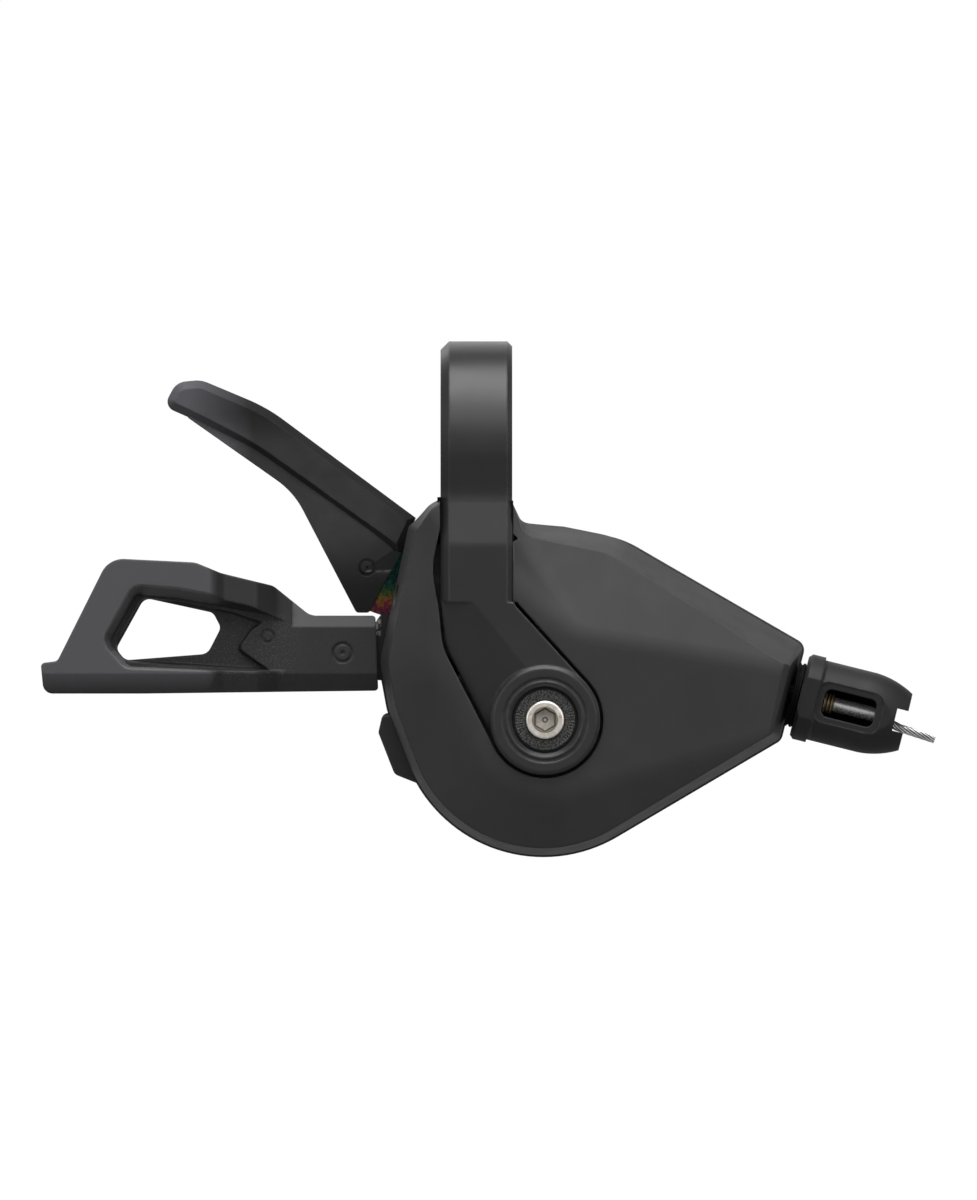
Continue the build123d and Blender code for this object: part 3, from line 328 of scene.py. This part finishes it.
def mixed(tree, share, first, second):
    """Colour between two colours, each a tuple or a socket."""
    made = tree.nodes.new("ShaderNodeMix")
    made.data_type = "RGBA"
    # Inputs 6 and 7 and output 2 of this node are its colours
    first, second = [(*c, 1) if isinstance(c, tuple) else c for c in (first, second)]
    connect(tree, {0: share, 6: first, 7: second}, made)
    return made.outputs[2]


def bump(tree, height, strength, depth_mm, normal=None):
    values = {"Height": height, "Strength": strength, "Distance": depth_mm * MM}
    if normal:
        values["Normal"] = normal
    return put(tree, "Bump", values).outputs["Normal"]


def soft_edges(tree, radius_mm):
    """Normals that round sharp edges, and how near the point is to such an edge, from 0 to 1."""
    bevel = put(tree, "Bevel", {"Radius": radius_mm * MM})
    bevel.samples = BEVEL_SAMPLES
    normal = bevel.outputs["Normal"]
    unrounded = tree.nodes.new("ShaderNodeNewGeometry").outputs["Normal"]
    cosine = put(tree, "VectorMath", {0: normal, 1: unrounded}, "DOT_PRODUCT").outputs["Value"]
    return normal, rises(tree, cosine, *EDGE_COSINES)


def grey(value, blue=1.04):
    """Grey with a little more blue."""
    return (value, value, value * blue)


# Plastics

def plastic_base(tree, level, edge_mm, wear_and_sheen):
    """Drifting dark colour, lighter along edges in patches that are partly wear and partly painted
    highlight, and the normals of rounded edges.
    """
    normal, near_edge = soft_edges(tree, edge_mm)
    drift = noise(tree, size_mm=9.0, detail=3.0)
    low, high = level * (1 - GREY_DRIFT), level * (1 + GREY_DRIFT)
    colour = ramp(tree, drift, [(0.3, grey(low)), (0.7, grey(high))])
    # Wear and painted highlight: patches along the edges turn a lighter grey
    edge_wear_and_sheen = times(tree, near_edge, spread(tree, noise(tree, size_mm=0.9, detail=4.0), 0.0, wear_and_sheen))
    return mixed(tree, edge_wear_and_sheen, colour, grey(WORN_AND_SHEEN_GREY)), normal


def moulded_plastic(name, level, roughness, grain_mm, grain_strength, edge_mm, wear_and_sheen, gloss):
    """Dark moulded resin: slow colour drift, uneven sheen, a fine grain and edges lightened by wear and
    painted highlight.
    """
    made, tree, shader = new_material(name)
    colour, normal = plastic_base(tree, level, edge_mm, wear_and_sheen)
    grain = noise(tree, grain_mm, detail=3.0)
    connect(tree, {
        "Base Color": colour,
        "Roughness": spread(tree, noise(tree, size_mm=4.0, detail=4.0), *roughness),
        "Normal": bump(tree, grain, grain_strength, depth_mm=0.05, normal=normal),
        "Specular IOR Level": gloss,
    }, shader)
    return made


def release_pad_plastic():
    """The thumb frame is polished, with a paler painted sheen on its face, the pocket has a coarse grain
    and the arm a faint one.
    """
    made, tree, shader = new_material("release_pad_plastic")
    at = place(tree)
    colour, normal = plastic_base(tree, level=0.024, edge_mm=0.4, wear_and_sheen=0.3)
    frame_face = rises(tree, at["Y"], *[pad_low[1] + depth for depth in FRAME_FACE_ENDS])
    # Painted sheen: the frame's face is a paler, bluer grey
    painted_sheen = mixed(tree, frame_face, colour, grey(0.080, 1.08))
    speckle = noise(tree, size_mm=0.22, detail=5.0)
    rough = times(tree, rises(tree, at["X"], *GRAIN_ENDS_X), 1 - ARM_GRAIN)
    rough = plus(tree, rough, ARM_GRAIN)
    above_pocket = plus(tree, at["Z"], times(tree, at["X"], POCKET_SLOPE))
    fold = rises(tree, above_pocket, POCKET_TOP - POCKET_FADE, POCKET_TOP + POCKET_FADE)
    bead = rises(tree, at["Z"], *[pad_low[2] + height for height in BEAD_ENDS])
    for smooth in (frame_face, fold, bead):
        rough = times(tree, rough, minus(tree, 1.0, smooth))
    glints = times(tree, rough, rises(tree, speckle, 0.54, 0.72))
    connect(tree, {
        "Base Color": mixed(tree, glints, painted_sheen, grey(0.085)),
        "Roughness": between(tree, frame_face, 0.52, 0.40),
        "Normal": bump(tree, times(tree, rough, speckle), strength=0.6, depth_mm=0.10, normal=normal),
        "Specular IOR Level": 0.35,
    }, shader)
    return made


def sunk_web_ring(tree):
    """1 on the ring and the dot sunk in the front of the main lever's web, where the materials paint
    dark shade.
    """
    radius = length(tree, *offsets(tree, WEB_RING))
    nearest = calculate(tree, "MINIMUM", away_from(tree, radius, WEB_RING_RADIUS), radius)
    front = rises(tree, place(tree)["Y"], *WEB_FRONT_Y)
    return times(tree, front, rises(tree, nearest, *WEB_RING_FADE))


def main_pad_plastic():
    """Dark satin lever with a painted highlight that makes its tip paler, and a ring sunk in its web and
    painted dark as shade.
    """
    made, tree, shader = new_material("main_pad_plastic")
    colour, normal = plastic_base(tree, level=0.013, edge_mm=0.25, wear_and_sheen=0.4)
    sunk_ring = sunk_web_ring(tree)
    # Painted highlight: the bar turns a paler, bluer grey towards its tip
    unevenness = times(tree, noise(tree, size_mm=6.0, detail=3.0), TIP_HIGHLIGHT_UNEVENNESS)
    along_bar = plus(tree, place(tree)["X"], unevenness)
    tip_highlight = rises(tree, along_bar, *[bar_low[0] + distance for distance in TIP_HIGHLIGHT_ENDS])
    painted_sheen = mixed(tree, tip_highlight, colour, grey(0.095, 1.10))
    height = minus(tree, times(tree, noise(tree, size_mm=0.2, detail=3.0), 0.1), sunk_ring)
    # Painted shade: the sunk ring and dot are near black
    connect(tree, {
        "Base Color": mixed(tree, sunk_ring, painted_sheen, grey(0.003)),
        "Roughness": spread(tree, noise(tree, size_mm=3.0, detail=4.0), 0.56, 0.68),
        "Normal": bump(tree, height, strength=0.8, depth_mm=0.06, normal=normal),
        "Specular IOR Level": 0.12,
    }, shader)
    return made


# Metals

def satin_metal(name, dark, light, roughness, grain_mm, grain_strength, edge_mm):
    """Bare metal with a fine uneven grain."""
    made, tree, shader = new_material(name)
    grain = noise(tree, grain_mm, detail=4.0)
    normal, _ = soft_edges(tree, edge_mm)
    tone = noise(tree, size_mm=1.6, detail=4.0)
    connect(tree, {
        "Base Color": ramp(tree, tone, [(0.3, grey(dark, 1.01)), (0.7, grey(light, 1.01))]),
        "Roughness": spread(tree, grain, *roughness),
        "Metallic": 1.0,
        "Normal": bump(tree, grain, grain_strength, depth_mm=0.03, normal=normal),
    }, shader)
    return made


def serrated_washer():
    """Dark oxide steel with fine radial teeth and a speckle."""
    made, tree, shader = new_material("serrated_dark_steel")
    across, up = offsets(tree, axle)
    angle = calculate(tree, "ARCTAN2", up, across)
    teeth = calculate(tree, "SINE", times(tree, angle, WASHER_TEETH))
    speckle = noise(tree, size_mm=0.22, detail=4.0)
    height = plus(tree, times(tree, teeth, 0.5), speckle)
    connect(tree, {
        "Base Color": ramp(tree, speckle, [(0.40, (0.012, 0.012, 0.012)), (0.68, (0.12, 0.12, 0.115))]),
        "Roughness": spread(tree, speckle, 0.45, 0.7),
        "Metallic": 0.6,
        "Normal": bump(tree, height, strength=0.5, depth_mm=0.08),
    }, shader)
    return made


def off_hexagon(tree, across, up):
    """Distance from the bolt's middle, measured so that the socket's six walls all lie at one value."""
    reach = 0.0
    for degrees in HEX_WALLS_DEGREES:
        sideways = times(tree, across, math.cos(math.radians(degrees)))
        upwards = times(tree, up, math.sin(math.radians(degrees)))
        off_wall = calculate(tree, "ABSOLUTE", plus(tree, sideways, upwards))
        reach = calculate(tree, "MAXIMUM", reach, off_wall)
    return reach


def turned_steel():
    """Warm stainless bolt: turned rings, a darker brown chamfer round the socket, and painted shade in
    the corners of its floor and round the dimple in it.
    """
    made, tree, shader = new_material("bright_bolt_steel")
    across, up = offsets(tree, axle)
    radius = length(tree, across, up)
    stain = noise(tree, size_mm=0.7, detail=3.0)
    bright = ramp(tree, stain, [(0.3, (0.74, 0.68, 0.60)), (0.7, (0.95, 0.91, 0.85))])
    floor = rises(tree, place(tree)["Y"], *[bolt_low[1] + depth for depth in SOCKET_STARTS])
    corner = rises(tree, off_hexagon(tree, across, up), *HEX_CORNER_STARTS)
    dimple = rises(tree, away_from(tree, radius, DIMPLE_RADIUS), *DIMPLE_FADE)
    # Painted shade: the socket floor darkens at its corners and in a ring round its dimple
    socket_shade = times(tree, floor, calculate(tree, "MAXIMUM", corner, dimple))
    # A darker brown ring on the chamfer round the socket
    chamfer = minus(tree, rises(tree, radius, *CHAMFER_ENDS), floor)
    dark_chamfer_tone = mixed(tree, chamfer, bright, (0.30, 0.26, 0.20))
    normal, _ = soft_edges(tree, radius_mm=0.12)
    rings = wave(tree, radius, TURNED_PITCH)
    connect(tree, {
        "Base Color": mixed(tree, socket_shade, dark_chamfer_tone, (0.10, 0.085, 0.07)),
        "Roughness": spread(tree, stain, 0.26, 0.40),
        "Metallic": between(tree, floor, 0.9, 0.05),
        "Normal": bump(tree, rings, strength=0.10, depth_mm=0.02, normal=normal),
    }, shader)
    return made


def bare_of_web(tree):
    """1 where the coloured plate is bare, 0 where the real one lies in the web."""
    up_edge = WEB_EDGE_TOP - WEB_EDGE_LOW
    bare_side = Vector((up_edge.z, 0, -up_edge.x)).normalized()
    edge = WEB_EDGE_TOP.dot(bare_side)
    return rises(tree, place_along(tree, bare_side), *[edge + fade for fade in WEB_EDGE_FADE])


def heat_coloured_steel():
    """Iridescent zinc where the plate is bare, in bands broken up by a grain; elsewhere dark resin, with
    painted shade in the sunk ring.
    """
    made, tree, shader = new_material("iridescent_steel")
    fall = rises(tree, place(tree)["Z"], *[plate_high[2] - depth for depth in HEAT_ENDS])
    drift = times(tree, minus(tree, noise(tree, size_mm=0.5, detail=6.0), 0.5), HEAT_UNEVENNESS)
    bands = ramp(tree, plus(tree, fall, drift), HEAT_BANDS)
    bare = bare_of_web(tree)
    sunk_ring = sunk_web_ring(tree)
    # Painted shade: the sunk ring and dot are darker than the resin round them
    resin = mixed(tree, sunk_ring, grey(0.008), grey(0.003))
    grain = times(tree, noise(tree, size_mm=0.16, detail=4.0), bare)
    connect(tree, {
        "Base Color": mixed(tree, bare, resin, bands),
        "Roughness": between(tree, bare, 0.56, 0.36),
        "Metallic": times(tree, bare, 0.9),
        "Normal": bump(tree, minus(tree, grain, sunk_ring), strength=0.4, depth_mm=0.05),
        "Specular IOR Level": 0.25,
    }, shader)
    return made


def release_steel():
    """Oxide-black stay of the release lever, rubbed bright at the top of the gap beside the arm."""
    made, tree, shader = new_material("release_steel")
    speckle = noise(tree, size_mm=0.5, detail=4.0)
    at = place(tree)
    rubbed = times(tree, rises(tree, at["Z"], *RUBBED_Z), rises(tree, speckle, 0.42, 0.60))
    rubbed = times(tree, rubbed, rises(tree, at["X"], *RUBBED_X))
    connect(tree, {
        "Base Color": mixed(tree, rubbed, (0.012, 0.012, 0.012), (0.40, 0.39, 0.36)),
        "Roughness": spread(tree, speckle, 0.40, 0.58),
        "Metallic": between(tree, rubbed, 0.5, 0.8),
        "Normal": bump(tree, speckle, strength=0.3, depth_mm=0.04),
    }, shader)
    return made


def from_outlet(tree, direction):
    """Distance of the shaded point from the knob's inner face or the cable line, along a direction."""
    return minus(tree, place_along(tree, direction), outlet.dot(direction))


def threaded_brass():
    """Brass with a fine thread along the cable line, painted black as shade in the neck outside the
    knob.
    """
    made, tree, shader = new_material("brass_thread")
    distance = from_outlet(tree, outlet_axis)
    thread = wave(tree, distance, THREAD_PITCH)
    tone = plus(tree, times(tree, thread, 0.4), noise(tree, size_mm=0.3, detail=3.0))
    brass = ramp(tree, tone, [(0.2, (0.34, 0.21, 0.07)), (0.8, (0.95, 0.80, 0.52))])
    # Painted shade: the brass is black in the neck between the covers and the knob
    neck_shade = rises(tree, distance, *NECK_SHADE_ENDS)
    connect(tree, {
        "Base Color": mixed(tree, neck_shade, brass, (0.008, 0.008, 0.008)),
        "Roughness": between(tree, neck_shade, 0.28, 0.6),
        "Metallic": 0.6,
        "Normal": bump(tree, thread, strength=0.8, depth_mm=0.15),
    }, shader)
    return made


def plated_tube():
    """Bright plated tube, clean above and speckled darker grey below the cable line."""
    made, tree, shader = new_material("plated_tube")
    below = rises(tree, from_outlet(tree, outlet_up), *LOWER_SPECKLE_START)
    lower_speckle = times(tree, below, rises(tree, noise(tree, size_mm=0.35, detail=5.0), 0.46, 0.60))
    connect(tree, {
        "Base Color": mixed(tree, lower_speckle, (0.97, 0.98, 0.97), (0.40, 0.42, 0.43)),
        "Roughness": spread(tree, noise(tree, size_mm=0.3, detail=4.0), 0.30, 0.42),
        "Metallic": 0.65,
        "Normal": bump(tree, lower_speckle, strength=0.4, depth_mm=0.03),
    }, shader)
    return made


plain = {name: moulded_plastic(name, *values) for name, values in PLASTICS.items()}
plain.update({name: satin_metal(name, *values) for name, values in METALS.items()})

node_materials = {
    plain["cover_plastic"]: ["front_cover", "rear_cover"],
    plain["knob_plastic"]: ["adjuster_knob"],
    release_pad_plastic(): ["release_pad"],
    main_pad_plastic(): ["main_pad"],
    plain["band_paint"]: ["clamp_band"],
    plain["rubber"]: ["knob_seal"],
    plain["drum_resin"]: ["winding_drum"],
    # The bracket is dark all over, which also stands in for the black shade seen through the gaps beside
    # the strap
    plain["dark_alloy"]: ["bracket"],
    plain["satin_steel"]: [
        "band_rivets", "main_axle", "axle_washer", "axle_nut", "support_plate", "spacer_posts",
        "cover_screws", "lever_spacer", "hold_ratchet", "wind_ratchet", "cable_nipple", "hold_pawl",
        "hold_pawl_pin", "wind_pawl", "wind_pawl_pin", "casing_seat",
    ],
    release_steel(): ["release_plate"],
    plain["spring_steel"]: [
        "drum_spring", "hold_pawl_spring", "wind_pawl_spring", "release_spring", "main_spring",
    ],
    plated_tube(): ["adjuster_tube"],
    serrated_washer(): ["clamp_washer"],
    turned_steel(): ["clamp_bolt"],
    heat_coloured_steel(): ["main_plate"],
    threaded_brass(): ["brass_sleeve"],
}

for material, names in node_materials.items():
    for name in names:
        slots = nodes[name].data.materials
        slots.clear()
        slots.append(material)


# Added pieces: the stranded cable, the neck seal and black strips of painted shade beside the strap

def add_piece(name, points, faces, materials, replaced=None):
    """A mesh that rides on the housing, with smooth faces between its sharp edges."""
    mesh = bpy.data.meshes.new(name)
    mesh.from_pydata(points, [], faces)
    mesh.polygons.foreach_set("use_smooth", [True] * len(faces))
    mesh.set_sharp_from_angle(angle=math.radians(SHARP_DEGREES))
    for material in materials:
        mesh.materials.append(material)
    made = bpy.data.objects.new(name, mesh)
    bpy.context.collection.objects.link(made)
    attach(made, "housing")
    if replaced:
        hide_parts(replaced)
    return mesh


def add_skin(faces, first, rings, count, closed=False):
    """Faces over rings of points: round to the first ring if closed, or else with a cap on each end."""
    for ring in range(rings if closed else rings - 1):
        near = first + ring * count
        far = first + (ring + 1) % rings * count
        for step in range(count):
            after = (step + 1) % count
            faces.append((near + step, near + after, far + after, far + step))
    if not closed:
        last = first + (rings - 1) * count
        faces.append(tuple(range(first, first + count))[::-1])
        faces.append(tuple(range(last, last + count)))


def cable_route():
    """Control points of the cable: round the drum from the nipple, then along the outlet line."""
    middle = Vector((axle.x, outlet.y, axle.z))
    reach = (outlet - middle).dot(outlet_up)
    leave_drum = middle + outlet_up * reach
    wrap = math.radians(CABLE_WRAP_DEGREES)
    start = middle + (outlet_up * math.cos(wrap) - outlet_axis * math.sin(wrap)) * reach
    tangent = outlet_axis * reach * math.tan(wrap / 2)
    drops = [outlet + outlet_axis * along * MM - outlet_up * drop * MM for along, drop in CABLE_DROPS_MM]
    return [start, leave_drum - tangent, leave_drum + tangent, *drops]


def smooth_line(points):
    """Points along the NURBS curve that has a route's points as its control points."""
    curve = bpy.data.curves.new("cable_route", "CURVE")
    curve.dimensions = "3D"
    spline = curve.splines.new("NURBS")
    spline.points.add(len(points) - 1)
    for target, point in zip(spline.points, points):
        target.co = (*point, 1)
    spline.order_u = 3
    spline.use_endpoint_u = True
    spline.resolution_u = CABLE_STEPS
    holder = bpy.data.objects.new("cable_route", curve)
    line = bpy.data.meshes.new_from_object(holder)
    found = [vertex.co.copy() for vertex in line.vertices]
    bpy.data.objects.remove(holder)
    bpy.data.curves.remove(curve)
    bpy.data.meshes.remove(line)
    return found


def add_wire(points, faces, line, lengths, helix_radius, wire_radius, phase):
    """One wire of the cable, wound round the line at a radius."""
    first = len(points)
    for index, (centre, distance) in enumerate(zip(line, lengths)):
        ahead = line[min(index + 1, len(line) - 1)] - line[max(index - 1, 0)]
        up = ahead.normalized().cross(crosswise)
        turn = phase + 2 * math.pi * distance / WIRE_LAY
        heart = centre + (crosswise * math.cos(turn) + up * math.sin(turn)) * helix_radius
        for step in range(WIRE_SIDES):
            angle = 2 * math.pi * step / WIRE_SIDES
            points.append(heart + (crosswise * math.cos(angle) + up * math.sin(angle)) * wire_radius)
    add_skin(faces, first, len(line), WIRE_SIDES)


def stranded_cable():
    """Outer wires wound round a dark core that paints the shade between them, in place of the plain
    cable.
    """
    line = smooth_line(cable_route())
    lengths = [0.0]
    for before, after in zip(line, line[1:]):
        lengths.append(lengths[-1] + (after - before).length)
    # Wires of this radius would just touch their neighbours
    touching = math.sin(math.pi / WIRE_COUNT)
    wire_radius = CABLE_RADIUS * touching / (1 + touching)
    helix_radius = CABLE_RADIUS - wire_radius
    points, faces = [], []
    for index in range(WIRE_COUNT):
        phase = 2 * math.pi * index / WIRE_COUNT
        add_wire(points, faces, line, lengths, helix_radius, wire_radius * WIRE_SLIMMING, phase)
    wire_faces = len(faces)
    # Painted shade: the core is dark, so the gaps between the wires look shaded
    add_wire(points, faces, line, lengths, 0.0, helix_radius - wire_radius / 2, 0.0)
    materials = [plain["cable_steel"], plain["cable_core_shade"]]
    mesh = add_piece("stranded_cable", points, faces, materials, "inner_cable")
    in_core = [int(index >= wire_faces) for index in range(len(faces))]
    mesh.polygons.foreach_set("material_index", in_core)


def neck_seal():
    """Ribbed rubber ring that closes the neck between covers and knob, in place of the plain ring."""
    points, faces = [], []
    for step in range(SEAL_STEPS):
        angle = 2 * math.pi * step / SEAL_STEPS
        outwards = outlet_up * math.cos(angle) + crosswise * math.sin(angle)
        for along, radius in SEAL_OUTLINE_MM:
            points.append(outlet + outlet_axis * along * MM + outwards * radius * MM)
    add_skin(faces, 0, SEAL_STEPS, len(SEAL_OUTLINE_MM), closed=True)
    add_piece("neck_seal", points, faces, [plain["rubber"]], "knob_seal")


def shade_strip_section(outer, inner, far_end, near_end, share):
    """X and Y of a strip's corners at a share of its length, in the order that turns faces outwards."""
    front = SHADE_STRIP_FRONT_MM + SHADE_STRIP_WAVE_MM * math.sin(2 * math.pi * SHADE_STRIP_WAVES * share)
    section = [
        (outer, SHADE_STRIP_FLANGE_MM), (far_end, SHADE_STRIP_FLANGE_MM), (far_end, SHADE_STRIP_BACK_MM),
        (near_end, SHADE_STRIP_BACK_MM), (near_end, SHADE_STRIP_FLANGE_MM), (inner, SHADE_STRIP_FLANGE_MM),
        (inner, front), (outer, front),
    ]
    return section[::-1] if outer > inner else section


def strap_shade_strips():
    """Thin strips in the black rubber material, with wavy front edges in the slits beside the strap and
    flanges behind it, standing in for the shade there.
    """
    points, faces = [], []
    for *sides, top, low in SHADE_STRIPS_MM:
        first = len(points)
        for step in range(SHADE_STRIP_STEPS + 1):
            share = step / SHADE_STRIP_STEPS
            section = shade_strip_section(*sides, share)
            points += [Vector((x, y, top + (low - top) * share)) * MM for x, y in section]
        add_skin(faces, first, SHADE_STRIP_STEPS + 1, len(section))
    add_piece("strap_shade_strips", points, faces, [plain["rubber"]])


# Studio: a pale floor and a white background, with soft lamps above, in front, behind and beside

def ray_kinds(tree):
    """Whether the camera sees the point, and whether a mirror-like or clear surface does."""
    path = tree.nodes.new("ShaderNodeLightPath").outputs
    mirrored = calculate(tree, "MAXIMUM", path["Is Glossy Ray"], path["Is Transmission Ray"])
    return path["Is Camera Ray"], mirrored


def studio_floor():
    """Grey floor that the camera sees as white, apart from the object's shadow."""
    made, tree, shader = new_material("studio_floor")
    seen, mirrored = ray_kinds(tree)
    distance = put(tree, "VectorMath", {0: shaded_point(tree)}, "LENGTH").outputs["Value"]
    direct = times(tree, seen, spread(tree, distance, *FLOOR_GLOW, *FLOOR_GLOW_GROWS))
    glow = calculate(tree, "MAXIMUM", direct, times(tree, mirrored, FLOOR_MIRRORED))
    connect(tree, {
        "Base Color": (FLOOR_GREY, FLOOR_GREY, FLOOR_GREY, 1),
        "Roughness": 0.9,
        "Specular IOR Level": 0.1,
        "Emission Color": (1, 1, 1, 1),
        "Emission Strength": glow,
    }, shader)
    return made


def add_floor():
    mesh = bpy.data.meshes.new("studio_floor")
    corners = [(x * FLOOR_REACH, y * FLOOR_REACH, FLOOR_Z) for x, y in FLOOR_CORNERS]
    mesh.from_pydata(corners, [], [(0, 1, 2, 3)])
    mesh.materials.append(studio_floor())
    made = bpy.data.objects.new("studio_floor", mesh)
    bpy.context.collection.objects.link(made)


def add_lamp(name, at, size, power):
    """Soft rectangular lamp that faces the object."""
    lamp = bpy.data.lights.new(name, "AREA")
    lamp.shape = "RECTANGLE"
    lamp.size, lamp.size_y = size
    lamp.energy = power
    made = bpy.data.objects.new(name, lamp)
    made.location = at
    made.rotation_euler = (VIEW_CENTRE - Vector(at)).to_track_quat("-Z", "Y").to_euler()
    bpy.context.collection.objects.link(made)


def add_world():
    """White to the camera, dim as a light, and a pale band above the horizon to mirror-like surfaces."""
    world = bpy.data.worlds.new("studio")
    world.use_nodes = True
    tree = world.node_tree
    seen, mirrored = ray_kinds(tree)
    direction = tree.nodes.new("ShaderNodeTexCoord").outputs["Generated"]
    height = put(tree, "SeparateXYZ", {"Vector": direction}).outputs["Z"]
    band = times(tree, rises(tree, height, *WORLD_BAND_STARTS), rises(tree, height, *WORLD_BAND_ENDS))
    pale = times(tree, times(tree, mirrored, band), WORLD_MIRRORED)
    strength = calculate(tree, "MAXIMUM", seen, plus(tree, pale, WORLD_LIGHT))
    connect(tree, {"Color": (1, 1, 1, 1), "Strength": strength}, tree.nodes["Background"])
    bpy.context.scene.world = world


def add_camera():
    """Camera that looks along +Y at the middle of the photo's view."""
    camera = bpy.data.cameras.new("camera")
    camera.sensor_fit = "VERTICAL"
    camera.sensor_height = SENSOR_MM
    camera.lens = SENSOR_MM * VIEW_DISTANCE / (IMAGE_HEIGHT / PIXELS_PER_MM * MM)
    camera.clip_end = VIEW_END
    made = bpy.data.objects.new("camera", camera)
    made.location = VIEW_CENTRE + Vector((0, -VIEW_DISTANCE, 0))
    made.rotation_euler = (math.radians(90), 0, 0)
    bpy.context.collection.objects.link(made)
    bpy.context.scene.camera = made


add_camera()
stranded_cable()
neck_seal()
strap_shade_strips()
add_floor()
for name, lamp in LAMPS.items():
    add_lamp(name, *lamp)
add_world()
bpy.context.scene.view_settings.view_transform = "Standard"
